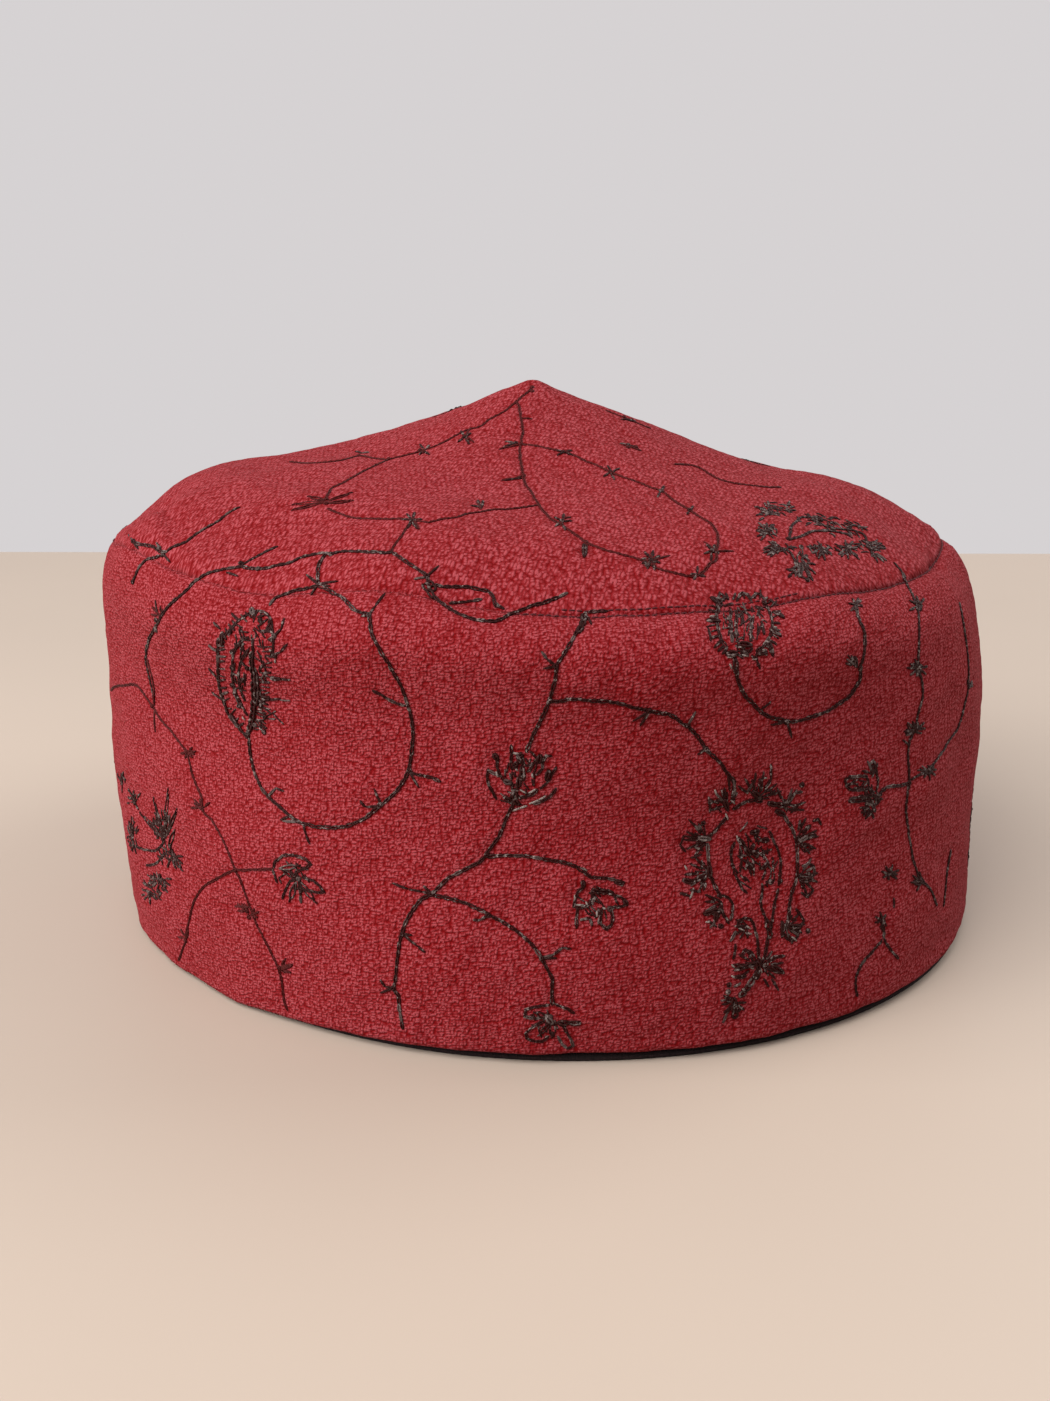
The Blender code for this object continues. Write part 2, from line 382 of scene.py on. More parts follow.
def rounded(band, crown):
    # columns run from the hem to the peak, and their turn at the seam is averaged with the rows near by
    profile = np.concatenate([band, crown[1:]])
    along = walked(profile)
    away = along - along[len(band) - 1]
    softness = tableAt(shoulder["softness"], np.degrees(azimuthOf(band[-1]))) / 1000.0
    spacing = np.gradient(along, axis=0)
    out = profile.copy()
    near = np.nonzero(np.abs(away).min(axis=1) < shoulder["farthest"])[0]
    for row in near:
        weights = np.exp(-((along - along[row]) / softness) ** 2 / 2.0) * spacing
        average = (profile * weights[..., None]).sum(axis=0) / weights.sum(axis=0)[:, None]
        share = np.exp(-(away[row] / shoulder["reach"]) ** 4)[:, None]
        out[row] = profile[row] + (average - profile[row]) * share
    return out[:len(band)], out[len(band) - 1:]


def filledOut(band, crown):
    # eases the cloth out in the charted places
    profile = np.concatenate([band, crown[1:]])
    away = walked(profile)
    away = (away - away[len(band) - 1]) * 1000.0
    azimuths = np.degrees(azimuthOf(profile))
    height = np.zeros(azimuths.shape)
    for azimuth, above, out, degrees, spread in shoulder["fuller"]:
        turn = (azimuths - azimuth + 180.0) % 360.0 - 180.0
        height += out / 1000.0 * np.exp(-(turn / degrees) ** 2 - ((away - above) / spread) ** 2)
    profile = profile + gridNormals(profile) * height[..., None]
    return profile[:len(band)], profile[len(band) - 1:], height[:len(band)]


def hung(band):
    # lets the hem down where it hangs lower
    drop = tableAt(shoulder["hemDrop"], np.degrees(azimuthOf(band))) / 1000.0
    share = np.clip(1.0 - walked(band) / shoulder["dropReach"], 0.0, 1.0)
    out = band.copy()
    out[..., 2] -= drop * share
    return out


def joined(band, crown):
    # both cloths end on one seam line
    shared = (band[-1] + crown[0]) / 2.0
    return np.concatenate([band[:-1], shared[None]]), np.concatenate([shared[None], crown[1:]])


innerBase = bandGrid
bandGrid, crownGrid, bandFill = filledOut(*rounded(bandGrid, crownGrid))
bandGrid = hung(bandGrid)
bandGrid, crownGrid = creased([bandGrid, crownGrid], treeOfGrids([bandGrid, crownGrid]))
bandOuter = textured(bandGrid, walked(bandGrid[::-1])[::-1], relief["bandLip"])
crownOuter = textured(crownGrid, walked(crownGrid), relief["crownLip"])
bandOuter, crownOuter = joined(bandOuter, crownOuter)
clothTree = treeOfGrids([bandOuter, crownOuter])
print("creases, swells and the seam's groove pressed in")

# the embroidery, charted from the photograph in its pixels
# vines, fineVines, fine and thick are lines of chain stitch, and knots are places
# thorns, singles, blobs, glints and loops are stitches from a root to a tip
# fans: root, tip of the middle leaf, spread in degrees, number of leaves
# fringes: a line that spikes stand along, how far they reach, how far apart and how far they lean
# scribbles: middle, reach across and down, number of stitches, slant in degrees
chart = {}
chart["alongSeam"] = {
    "vines": [
        [(145.5, 662), (147, 647), (150, 637), (156, 626), (161, 616), (168, 607), (177, 598), (186, 591),
         (193.5, 582), (199, 579), (208, 573), (220, 570), (230, 568), (242, 567), (258, 569), (267, 568),
         (279, 565), (289, 563), (300, 558), (311, 555), (323, 553), (330.6, 554), (342, 551.5),
         (359, 551.5), (373, 552), (387, 553), (391, 552), (401, 558.5), (411, 565), (421.5, 572),
         (426.7, 576), (430, 589)],
        [(433.6, 584), (444, 587), (456, 587), (470, 587), (480, 589.6), (487, 591), (494, 598), (496, 605),
         (503, 608)],
        [(433.6, 595), (442, 603.5), (451, 609.5), (463, 615.6), (473.5, 619), (485.6, 621), (498, 621),
         (506, 616), (517, 612), (527, 607.5), (537, 604.5), (548, 601.5), (557, 597.5), (566, 593)],
        [(327, 553), (322, 558.5), (318.6, 565), (317.7, 574), (318, 584)],
    ],
    "fine": [
        [(242, 565), (249.5, 560), (258, 555.5), (267, 551), (276, 547)],
        [(450, 603), (465, 602), (480, 600)],
        [(145, 660), (151, 686), (154, 700)],
    ],
    "thick": [[(424, 584), (432, 596)], [(428, 581), (434, 590)]],
    "thorns": [(158, 615, 155, 600), (226, 572, 238, 576), (426, 577, 414, 579), (426, 577, 438.8, 565.4),
        (318, 584, 305.6, 574), (318, 584, 310.8, 594.8), (318, 584, 330, 586), (318, 584, 338, 581)],
    "knots": [(156, 620), (156, 630), (240.6, 563), (258, 569), (330.6, 554), (496, 605), (426.7, 576)],
}
chart["leftLoop"] = {
    "vines": [
        [(318, 585), (304, 589), (290, 592), (275, 598), (270, 604)],
        [(318, 585), (330, 591), (341, 597), (350, 605), (358, 612), (369, 614.8), (370, 626), (372, 636.5),
         (378, 647), (386, 660), (393, 672), (399.5, 683), (404.5, 694.5), (408, 707), (412, 722),
         (413, 740), (411, 756), (409, 770), (402.5, 783), (394.5, 793), (384, 803), (373, 812), (360, 821),
         (347.5, 825.5), (334, 827.5), (322, 827.5), (311, 825.5), (300.5, 822.5), (290.5, 816.5),
         (279.5, 806.5), (269, 797), (263, 790), (257, 779), (253, 768), (250.5, 755), (249, 742),
         (247.5, 732)],
    ],
    "fine": [
        [(405, 706), (391, 701), (380, 694), (374, 691)],
        [(409, 771), (414, 774), (430, 776.5), (439, 781)],
    ],
    "thorns": [(369, 615, 375, 606), (375, 606, 385, 593), (369, 615, 361, 616), (410, 773, 419, 788),
        (381, 805, 374, 789), (379, 806, 365, 807), (365, 807, 360, 801), (303, 824, 306, 835),
        (306, 835, 309.7, 844), (299, 822, 282, 821), (289, 816, 280, 820), (268, 796, 276, 788),
        (276, 788, 283.5, 791)],
    "knots": [(369, 614.8), (409, 770), (380, 805)],
}
chart["leftPaisley"] = {
    "vines": [
        [(218, 638), (217.5, 652), (218, 668), (218, 678), (220, 690), (224, 702), (227, 712), (232, 720),
         (239, 728), (248, 738)],
    ],
    "fine": [
        [(219, 640), (225, 634), (231, 629), (236, 622), (244, 616), (253, 611.5), (265, 612), (271, 620),
         (272, 632), (273, 645), (271, 656)],
        [(253, 638), (252, 656)],
        [(248, 637), (239, 643), (233, 655), (232, 672), (234, 688), (240, 702), (247, 715)],
        [(247, 650), (241, 660), (238, 673), (239, 687), (244, 699)],
    ],
    "thick": [
        [(252, 652), (252, 665), (254, 680), (254, 700), (253, 715), (249, 730)],
        [(256, 676), (257, 690), (256, 704)],
    ],
    "blobs": [(222, 632, 222, 646), (230, 714, 239, 727), (261, 697, 270, 699), (270, 678, 281, 679),
        (251, 608, 254, 615)],
    "thorns": [(231, 613, 238, 620), (213, 622, 220, 629), (208, 645, 217, 652), (208, 668, 218, 679),
        (211, 692, 224, 701), (280, 652, 287, 644), (274, 636, 281, 629), (281, 629, 284, 618),
        (245, 657, 249, 648), (268, 700, 280, 699), (281, 679, 290, 680), (224, 702, 228, 713),
        (272, 656, 280, 652)],
    "singles": [(272, 713, 284, 725), (279, 700, 290, 701), (232, 681, 234, 694), (234, 694, 240, 707)],
    "knots": [(270, 622), (274, 636), (275, 656), (240, 644), (232, 652), (232, 668), (232, 685), (235, 694),
        (239, 706), (242, 680), (261, 706), (265, 717), (255, 725), (264, 732), (248, 733), (230, 632),
        (260, 620), (247, 668)],
    "glints": [(250, 612, 254, 612), (264, 612, 268, 615), (241, 619, 245, 617), (270, 631, 273, 633),
        (269, 650, 272, 651), (275, 660, 275, 663), (235, 726, 239, 728), (242, 717, 245, 720),
        (258, 709, 262, 710), (259, 728, 262, 730)],
    "fringes": [
        ([(252, 609), (240, 614), (228, 624), (219, 636), (216, 650), (216.5, 668), (219, 688), (226, 708),
          (238, 727)], 9, 5.5, 4),
        ([(258, 730), (266, 714), (269, 698), (270, 680), (272, 660), (273, 640), (270, 622),
          (258, 610)], 12, 4.5, 5),
    ],
    "scribbles": [(240, 665, 9, 34, 26, 84), (261, 668, 6, 38, 26, 76), (262, 716, 10, 14, 14, 20),
        (247, 630, 13, 12, 14, 45)],
}
chart["leftVine"] = {
    "fineVines": [
        [(154, 697), (153, 683), (147, 660)],
        [(110.4, 690), (116, 686.5), (123, 685.4), (136, 685), (144, 694.6), (152, 706), (161, 720),
         (171.6, 731.6), (181, 745.4), (186.6, 752), (190, 766), (194.6, 782), (201.6, 798.5), (201.6, 810),
         (210.8, 819), (219, 833), (226, 847), (231.6, 861), (235, 870), (238.5, 875), (243, 888.5),
         (247.7, 900), (250, 907), (257, 925.5), (264, 939), (271, 953), (277.7, 967), (281, 979),
         (282.4, 992), (284.7, 1004), (287, 1010)],
        [(235, 870), (224.6, 873.5), (213, 880.5), (201.6, 888.5), (194.6, 900), (191, 911.6), (186.6, 928),
         (185.4, 940.5), (181, 953), (178.5, 960)],
        [(235, 869.5), (250, 870), (264, 869.6), (272, 869)],
    ],
    "thorns": [(154, 706, 153, 690), (154, 710, 155, 732), (186.6, 752, 194.6, 754.6),
        (201.6, 810, 193.5, 803), (250, 907, 234, 906), (279, 968, 292, 964), (278, 970, 291.6, 966)],
    "fans": [(187, 752, 196, 752, 80, 3), (187, 752, 181, 758, 60, 2), (202, 808, 192, 800, 70, 3),
        (201, 808, 206, 798, 60, 2), (248, 912, 236, 905, 60, 3), (250, 915, 258, 912, 80, 3),
        (186, 939, 180, 930, 90, 3), (278, 969, 292, 965, 70, 3), (160, 616, 152, 606, 70, 3)],
    "knots": [(152, 706), (186.6, 752), (247, 911), (249, 917), (185.4, 940.5), (279, 968), (235, 870)],
}
chart["leftFlower"] = {
    "fine": [
        [(272, 869), (276.6, 881.6)],
        [(273, 868), (274, 863), (282, 856), (296, 856), (303, 858.5), (311, 863), (305, 868), (296, 872),
         (298.5, 879)],
        [(301, 877), (314.7, 881.6), (324, 893), (312, 891), (301, 888.5), (299, 880)],
        [(299, 880), (301, 902)],
        [(296, 880), (289, 881.6), (284.7, 891), (282, 898)],
    ],
    "loops": [(278, 869, 296, 866), (298, 880, 284, 871), (299, 881, 314, 900), (296, 882, 290, 899)],
    "knots": [(298.5, 879), (301, 890)],
    "scribbles": [(294, 878, 15, 16, 16, 60)],
}
chart["farLeftPaisley"] = {
    "fine": [
        [(120.6, 772.6), (122, 782), (122, 792)],
        [(128, 789), (132, 795), (135, 803), (138, 809)],
        [(128.6, 820.6), (131, 832), (133.4, 843), (136, 853)],
        [(135, 846), (144, 849.5), (152.6, 851), (160, 847), (164, 840)],
        [(146, 865.4), (154, 864), (159, 860.6), (164, 853)],
        [(171.7, 849.4), (175, 858), (178, 867)],
    ],
    "loops": [(163, 838, 143, 816), (163, 839, 155, 803), (164, 838, 168, 794), (165, 838, 176, 812),
        (163, 839, 150, 824), (171, 850, 181, 868), (168, 848, 174, 832)],
    "knots": [(135, 803), (131, 826), (134, 846), (163, 839), (160, 876), (150, 893)],
    "fans": [(121, 783, 119, 770, 120, 4), (134, 802, 128, 790, 130, 4), (131, 840, 125, 824, 110, 5),
        (165, 838, 163, 800, 70, 6), (172, 855, 180, 868, 100, 4), (160, 878, 166, 892, 120, 5),
        (150, 892, 143, 904, 150, 5), (156, 884, 146, 880, 90, 4)],
    "scribbles": [(162, 826, 10, 14, 40, 80), (132, 835, 5, 16, 22, 80), (168, 856, 9, 10, 20, 60),
        (156, 888, 12, 13, 32, 50), (122, 782, 3, 8, 8, 80)],
}
chart["centreVine"] = {
    "vines": [
        [(585, 611.5), (583, 622), (574.6, 636), (570, 643.8), (565.4, 651.5), (561, 659), (556, 666),
         (555.4, 676), (553.8, 685.4), (551.5, 693), (550, 701), (547, 707), (541, 718), (536, 728.5),
         (531.5, 739), (527, 750)],
        [(588, 612), (606, 611)],
        [(514.6, 789), (513, 802), (510, 811.5), (505.4, 821), (500, 835), (493, 845), (486.7, 853),
         (481.7, 860), (471.7, 866), (460, 871.7), (450, 876.7), (441.7, 885), (431.7, 894), (420, 900),
         (413, 910), (406, 921.7), (402.5, 933), (399, 945), (397.5, 958), (396.7, 970), (395, 980),
         (393, 988), (398, 995), (399, 1008), (401.7, 1023), (402, 1028)],
        [(486.7, 856.5), (496.7, 855.8), (510, 855), (523, 855.8), (536.7, 857.5), (550, 860.8),
         (566.7, 863), (578, 867.5), (590, 876.7)],
        [(433, 895), (444.5, 896.7), (455, 900), (466.7, 904), (480, 910), (488, 915), (500, 921),
         (510, 926.7), (520, 933), (530, 943), (538, 952.5), (541.7, 958), (546.7, 968), (551.7, 976.7),
         (552.5, 988), (551.7, 1000), (552, 1004)],
    ],
    "thick": [[(584, 614), (583, 624), (578, 631)]],
    "thorns": [(587, 616, 591.5, 624), (556, 666, 547, 659), (547, 659, 541.5, 651.5),
        (556, 666, 543.8, 668.5), (431, 893, 421.7, 891.7), (421.7, 891.7, 408, 889), (408, 889, 392, 883),
        (431, 893, 423, 885.8), (402.5, 934, 411.7, 935), (402.5, 934, 418, 946.7), (418, 946.7, 425, 952.5),
        (393, 988, 385, 986.7), (385, 986.7, 380, 980), (393, 988, 380, 993), (488, 915, 480, 920),
        (480, 920, 473, 920), (541.7, 958, 553, 955), (553, 955, 563, 947.5), (563, 947.5, 571, 949),
        (541.7, 958, 556.7, 958)],
    "knots": [(556, 666), (550, 701), (486.7, 855), (431.7, 894), (402.5, 934), (393, 988), (488, 915),
        (541.7, 958)],
}
chart["lotus"] = {
    "fine": [
        [(511, 745), (511, 757), (510, 764), (512, 768)],
        [(524, 766), (531, 766), (536, 761), (537, 756), (532, 753)],
        [(546, 755), (543, 762), (542, 769), (537, 774)],
        [(556, 767), (551, 775), (547, 783), (541, 788)],
        [(497, 760), (498, 769), (501, 778), (505, 781)],
        [(489, 769), (487.5, 777), (488, 785), (492, 790), (496, 798)],
        [(488, 770), (497, 775)],
        [(556, 788), (553, 794), (548, 798), (542, 801), (535, 804)],
        [(518, 797), (530, 796), (537, 790)],
    ],
    "thick": [[(522, 766), (523, 778)], [(515, 785), (515, 798)]],
    "blobs": [(504, 781, 512, 783), (494, 754, 498, 760), (519, 778, 519, 787), (504, 797, 512, 801),
        (514, 799, 519, 805), (549, 770, 546, 780), (540, 755, 539, 763), (518, 757, 523, 764)],
    "thorns": [(545, 756, 552, 756), (512, 768, 518, 767), (513, 802, 512, 811), (533, 766, 527, 772)],
    "knots": [(521, 755), (516, 764)],
    "glints": [(512, 753, 520, 754), (519, 758, 521, 761), (520, 790, 528, 794), (528, 794, 536, 789),
        (529, 804, 539, 800), (539, 800, 546, 796), (512, 811, 520, 808), (520, 808, 527, 806),
        (526, 749, 527, 753), (515, 768, 518, 771), (520, 780, 525, 779), (532, 774, 533, 778),
        (496, 772, 498, 777)],
    "scribbles": [(520, 774, 22, 16, 26, 75), (518, 798, 16, 8, 10, 20)],
}
chart["rightSmallFlower"] = {
    "fine": [
        [(590, 877), (600, 878), (608, 878.5), (618, 881), (623, 882)],
        [(584, 886), (578, 892), (575, 899), (574, 906)],
        [(576, 908), (585, 907), (590, 903), (592, 897), (593, 891)],
        [(607, 892), (618, 896), (624, 900), (627, 904), (621, 907), (614, 907), (609, 909)],
        [(602, 908), (600.5, 916), (601, 924), (606, 929), (611, 926), (612.5, 918), (611, 909)],
        [(578, 908), (577, 916), (576.5, 926)],
    ],
    "blobs": [(592, 890, 600, 892), (600, 891, 608, 892), (583, 881, 583, 888), (615, 882, 624, 883),
        (624, 900, 627, 905)],
    "thorns": [(593, 894, 595, 902), (591, 911, 596, 918), (598, 908, 600, 916), (600, 916, 598, 924),
        (608, 890, 614, 893), (580, 920, 590, 918), (590, 918, 592, 926)],
    "knots": [(610, 909), (591, 903), (593, 892)],
    "glints": [(583, 868, 587, 871), (575, 895, 575, 900), (576, 905, 584, 905), (586, 902, 588, 906),
        (608, 894, 612, 894), (603, 908, 606, 909), (597, 911, 597, 917), (616, 883, 623, 886)],
    "scribbles": [(598, 902, 20, 16, 16, 50)],
}
chart["lowerFlower"] = {
    "fine": [
        [(550, 1005), (540, 1006.7), (530, 1008), (524, 1012.5), (526.7, 1018), (538, 1018), (548, 1018)],
        [(555, 1004), (560, 1005.8), (570, 1010), (573, 1013)],
        [(545, 1021), (540, 1022.5), (531.7, 1028), (525, 1035), (530, 1040), (540, 1041.7), (548, 1036.7)],
        [(557, 1022), (561.7, 1025), (568, 1035), (573, 1046.7), (565, 1047.5), (558, 1038)],
    ],
    "thick": [[(558, 1023), (578, 1022.5)], [(546, 1016), (552, 1022)]],
    "loops": [(550, 1018, 536, 1013), (551, 1022, 540, 1034), (553, 1022, 552, 1036)],
    "knots": [(550, 1017), (549, 1022)],
    "scribbles": [(549, 1022, 17, 14, 18, 60)],
}
chart["branchRight"] = {
    "vines": [
        [(550, 701), (556, 701.5), (568.5, 699), (581, 699), (593, 701), (608.5, 701.5), (621, 703),
         (628.5, 706), (638, 708.5), (655, 712), (670, 715), (681, 722), (688, 726.5), (698, 737),
         (706.5, 749), (719.4, 762), (726, 771.6), (732, 778), (734.4, 784.5), (732, 798)],
    ],
    "thorns": [(650, 711, 633, 721), (650, 711, 640, 726), (688, 725, 695.8, 711.5), (705, 749, 698, 754.4)],
    "knots": [(650, 711), (688, 726), (706, 749)],
}
chart["bigPaisley"] = {
    "vines": [
        [(733, 810), (741, 804.5), (751, 800.5), (761, 802)],
        [(784, 815), (788, 821), (792.5, 829), (796.5, 840), (797, 851), (798, 862), (797.5, 873),
         (795, 883), (792, 892), (790, 900), (789, 909), (789, 918), (785, 928)],
        [(727, 817), (719, 826), (712, 834), (706, 839)],
        [(707, 843), (708.5, 856), (709, 867), (711, 878), (716, 888), (721, 897)],
        [(757, 937), (758, 948), (759, 957), (760, 964)],
        [(768, 937), (767, 948), (764, 957), (761, 964)],
    ],
    "fine": [
        [(748, 893), (742, 888), (738, 880), (734.5, 871), (732, 861), (731, 851), (734, 843)],
        [(770, 831), (774, 841), (778, 850), (781, 861), (780, 871), (779, 884)],
        [(762, 884), (762, 895), (760.5, 904), (763, 913), (767, 922)],
        [(779, 888), (776, 898), (774, 908), (772.5, 919), (771, 930)],
        [(717, 896), (727, 896), (732, 903), (733, 912), (731, 919)],
        [(722, 903), (721, 910), (726, 918), (728, 923)],
        [(737, 927), (738, 921), (744, 918), (751, 919), (754, 927), (757, 938)],
        [(730, 941), (735, 933)],
        [(736, 944), (734, 958)],
        [(783, 934), (790, 941), (797, 938), (800, 929)],
        [(796, 909), (801, 915), (804, 920), (800, 928)],
        [(741, 957), (746, 949), (753, 953), (752, 960)],
        [(769, 962), (775, 957), (784, 956)],
        [(802, 867), (809, 864), (815, 867), (815, 873), (809, 879)],
        [(800, 845), (805, 851), (812, 848)],
        [(813, 821), (818, 819), (821, 824)],
        [(802, 892), (808, 897), (813, 891)],
        [(787, 804), (793, 794), (801, 792)],
        [(790, 805), (797, 806), (792, 812)],
    ],
    "thick": [
        [(757, 961), (759, 970), (757, 977)],
        [(757, 972), (752, 981), (747, 988), (740, 996)],
        [(734, 998), (734, 1008), (735, 1017)],
        [(766, 920), (768, 928), (770, 937)],
    ],
    "blobs": [(751, 833, 759, 831), (761, 840, 769, 840), (752, 851, 758, 857), (738, 838, 745, 847),
        (744, 846, 750, 856), (762, 869, 768, 862), (698, 838, 711, 839), (776, 811, 785, 815),
        (768, 803, 777, 805), (776, 804, 785, 806), (800, 841, 808, 836), (806, 836, 816, 835),
        (801, 881, 813, 879), (724, 799, 728, 811), (709, 865, 710, 878), (704, 914, 714, 911),
        (712, 911, 722, 910), (716, 911, 715, 922), (736, 969, 747, 966), (745, 966, 757, 963),
        (735, 977, 746, 976), (787, 926, 801, 927), (782, 921, 782, 937), (772, 966, 784, 973),
        (683, 880, 694, 882), (693, 881, 704, 876), (753, 791, 761, 799), (760, 779, 761, 791)],
    "thorns": [(722, 790, 724, 801), (709, 797, 710, 813), (771, 764, 771, 781), (756, 773, 754, 784),
        (753, 783, 747, 792), (785, 799, 787, 812), (755, 844, 751, 852), (759, 854, 772, 849),
        (766, 870, 762, 880), (753, 858, 754, 876), (742, 856, 740, 873), (702, 832, 689, 820),
        (697, 838, 684, 836), (684, 836, 680, 845), (680, 845, 686, 852), (690, 890, 701, 892),
        (680, 893, 690, 896), (716, 920, 710, 928), (801, 827, 806, 818), (728, 776, 730, 791),
        (733, 778, 736, 796), (776, 795, 768, 789), (764, 979, 769, 987), (772, 979, 779, 991),
        (741, 983, 734, 987), (721, 1001, 732, 998), (724, 1013, 732, 1005), (727, 1013, 723, 1023),
        (742, 1008, 736, 1013), (692, 846, 704, 851), (691, 858, 702, 854), (706, 843, 697, 851),
        (748, 858, 746, 870), (770, 966, 764, 972), (708, 921, 717, 927), (806, 831, 811, 825)],
    "singles": [(738, 880, 752, 889), (716, 806, 722, 813), (714, 803, 722, 800), (766, 797, 776, 790),
        (748, 822, 740, 832), (757, 826, 768, 829)],
    "knots": [(771, 882), (780, 881), (808, 931), (729, 985), (728, 992), (721, 926), (802, 785), (703, 823),
        (710, 802)],
    "glints": [(715, 790, 717, 796), (715, 801, 718, 803), (731, 800, 735, 804), (726, 814, 728, 820),
        (763, 778, 767, 778), (771, 782, 765, 790), (685, 866, 687, 870), (695, 882, 689, 884),
        (694, 888, 690, 899), (737, 836, 738, 841), (799, 844, 802, 838), (713, 914, 717, 917),
        (706, 922, 711, 922), (726, 918, 729, 921), (732, 965, 735, 968), (750, 967, 754, 969),
        (732, 976, 735, 978), (760, 967, 762, 973), (767, 962, 768, 965), (743, 989, 745, 993),
        (739, 928, 745, 931), (745, 925, 751, 929), (746, 933, 752, 934), (718, 827, 713, 834),
        (792, 937, 797, 941)],
    "fans": [(727, 806, 715, 789, 130, 5), (757, 800, 762, 768, 120, 7), (785, 809, 801, 788, 110, 5),
        (706, 840, 682, 836, 125, 6), (797, 839, 820, 833, 120, 6), (709, 872, 684, 880, 120, 6),
        (799, 876, 822, 878, 120, 6), (722, 902, 705, 914, 120, 6), (748, 926, 735, 934, 120, 5),
        (786, 926, 806, 927, 130, 6), (758, 965, 732, 962, 80, 5), (762, 966, 783, 962, 110, 5),
        (734, 1002, 722, 1010, 130, 4), (735, 1002, 745, 1011, 90, 3)],
    "scribbles": [(753, 850, 14, 20, 30, 60), (745, 868, 9, 14, 12, 70), (768, 868, 8, 18, 12, 105)],
}
chart["roundPaisley"] = {
    "vines": [
        [(736.5, 668), (736.5, 675), (739, 683), (743.6, 694), (749.6, 701), (756.7, 708), (765, 714),
         (773, 717.6), (785, 721), (797, 721.8), (809, 718), (820.7, 714), (830, 710), (839.7, 703.4),
         (848, 697.4), (854, 690), (858.7, 683), (860.5, 675), (860.5, 665.4), (863.4, 656), (865, 646.4),
         (864.6, 632), (861, 624), (858, 617), (856, 608.5)],
        [(722, 602), (717, 611), (717, 622), (719, 632), (722, 640), (727, 647)],
    ],
    "fine": [
        [(766, 605), (771, 615), (772, 626), (770, 636), (764, 645), (757, 650)],
        [(737, 601), (743, 592), (751, 600)],
        [(752, 598), (759, 591.5), (765, 601)],
        [(738, 617), (744, 611), (751, 618), (751, 628), (751, 640)],
        [(731, 611), (730, 625), (732, 641)],
        [(737, 614), (736, 627), (738, 641)],
        [(741, 650), (748, 654), (752, 649)],
    ],
    "blobs": [(707, 620, 720, 621), (726, 654, 738, 653), (738, 644, 752, 645), (767, 639, 773, 656),
        (770, 629, 781, 636), (773, 611, 784, 618), (735, 658, 736, 674), (711, 597, 717, 603),
        (757, 654, 767, 652)],
    "thorns": [(720, 591, 716, 607), (721, 593, 726, 599), (769, 599, 777, 605), (708, 627, 711, 641),
        (757, 661, 760, 669), (762, 709, 771, 702), (786, 722, 771, 725), (788, 724, 792, 738),
        (858, 668, 848, 655), (724, 606, 733, 603), (755, 606, 764, 610), (761, 620, 765, 634)],
    "singles": [(744, 618, 744, 640), (758, 622, 757, 640), (724, 612, 723, 630)],
    "knots": [(720, 600), (734, 655), (786, 722), (856, 608.5), (860, 668), (764, 603)],
    "glints": [(717, 597, 717, 603), (710, 616, 715, 616), (771, 611, 772, 622), (750, 633, 751, 639),
        (738, 647, 743, 647), (728, 657, 733, 657), (742, 655, 748, 656), (753, 659, 758, 659),
        (762, 650, 767, 650), (773, 627, 777, 627), (730, 664, 732, 669)],
    "fringes": [
        ([(727, 648), (720, 638), (716, 624), (717, 610), (724, 601), (736, 599), (750, 598), (762, 600),
          (770, 607), (773, 620), (772, 634), (764, 648), (752, 656)], 9, 5, 3),
    ],
    "scribbles": [(745, 622, 20, 19, 44, 82), (742, 651, 12, 7, 16, 30)],
    "fans": [(856, 605, 849, 600, 150, 4), (856, 605, 862, 600, 90, 3), (858, 668, 848, 656, 60, 4)],
}
chart["rightVine"] = {
    "fine": [
        [(902, 572), (906, 583), (912, 594), (917, 606), (919, 620), (919, 645), (919, 665), (922, 682),
         (923, 697), (918.5, 712), (916, 728), (910, 740), (908, 756), (909, 775), (909, 788)],
        [(911, 780), (925, 772), (929.5, 769), (942.5, 752), (948, 742), (957, 730), (962.7, 713),
         (965.6, 701), (968.5, 687), (968.5, 664), (966, 640), (962, 615), (959.8, 603)],
        [(909, 783), (906, 805), (907, 820), (909.5, 838), (912, 855), (916, 868), (920, 880), (930, 888),
         (937, 905)],
        [(951, 850), (948, 865), (946, 885), (944, 905)],
        [(882.5, 918), (884, 930), (884, 940), (890, 949), (898, 958)],
        [(882.5, 940), (872, 952), (862, 964), (856, 978), (856, 990), (857.4, 995.5)],
    ],
    "vines": [[(910, 783), (899, 785.6), (888, 786), (882, 791)]],
    "thorns": [(968, 687, 973, 683), (894, 898, 894, 908), (909, 745, 903, 740)],
    "knots": [(919, 603), (919.4, 668), (916, 730), (909, 783), (929, 769), (920, 881), (891, 873),
        (883, 922), (968.5, 687)],
    "fans": [(919, 606, 912, 597, 150, 4), (919, 668, 908, 669, 150, 5), (919, 668, 928, 675, 90, 3),
        (915, 731, 905, 727, 120, 4), (917, 729, 924, 723, 80, 3), (928, 770, 934, 779, 120, 4),
        (921, 882, 910, 880, 140, 4), (890, 874, 898, 866, 150, 4), (890, 874, 883, 878, 90, 3),
        (883, 921, 877, 914, 120, 4), (968, 687, 973, 680, 90, 3)],
    "scribbles": [(919, 604, 3, 6, 9, 80), (919, 668, 6, 5, 10, 20), (914, 731, 6, 4, 12, 20),
        (928, 770, 6, 4, 10, 10), (890, 873, 6, 3, 8, 10), (920, 882, 7, 3, 8, 10), (883, 926, 3, 8, 8, 80)],
}
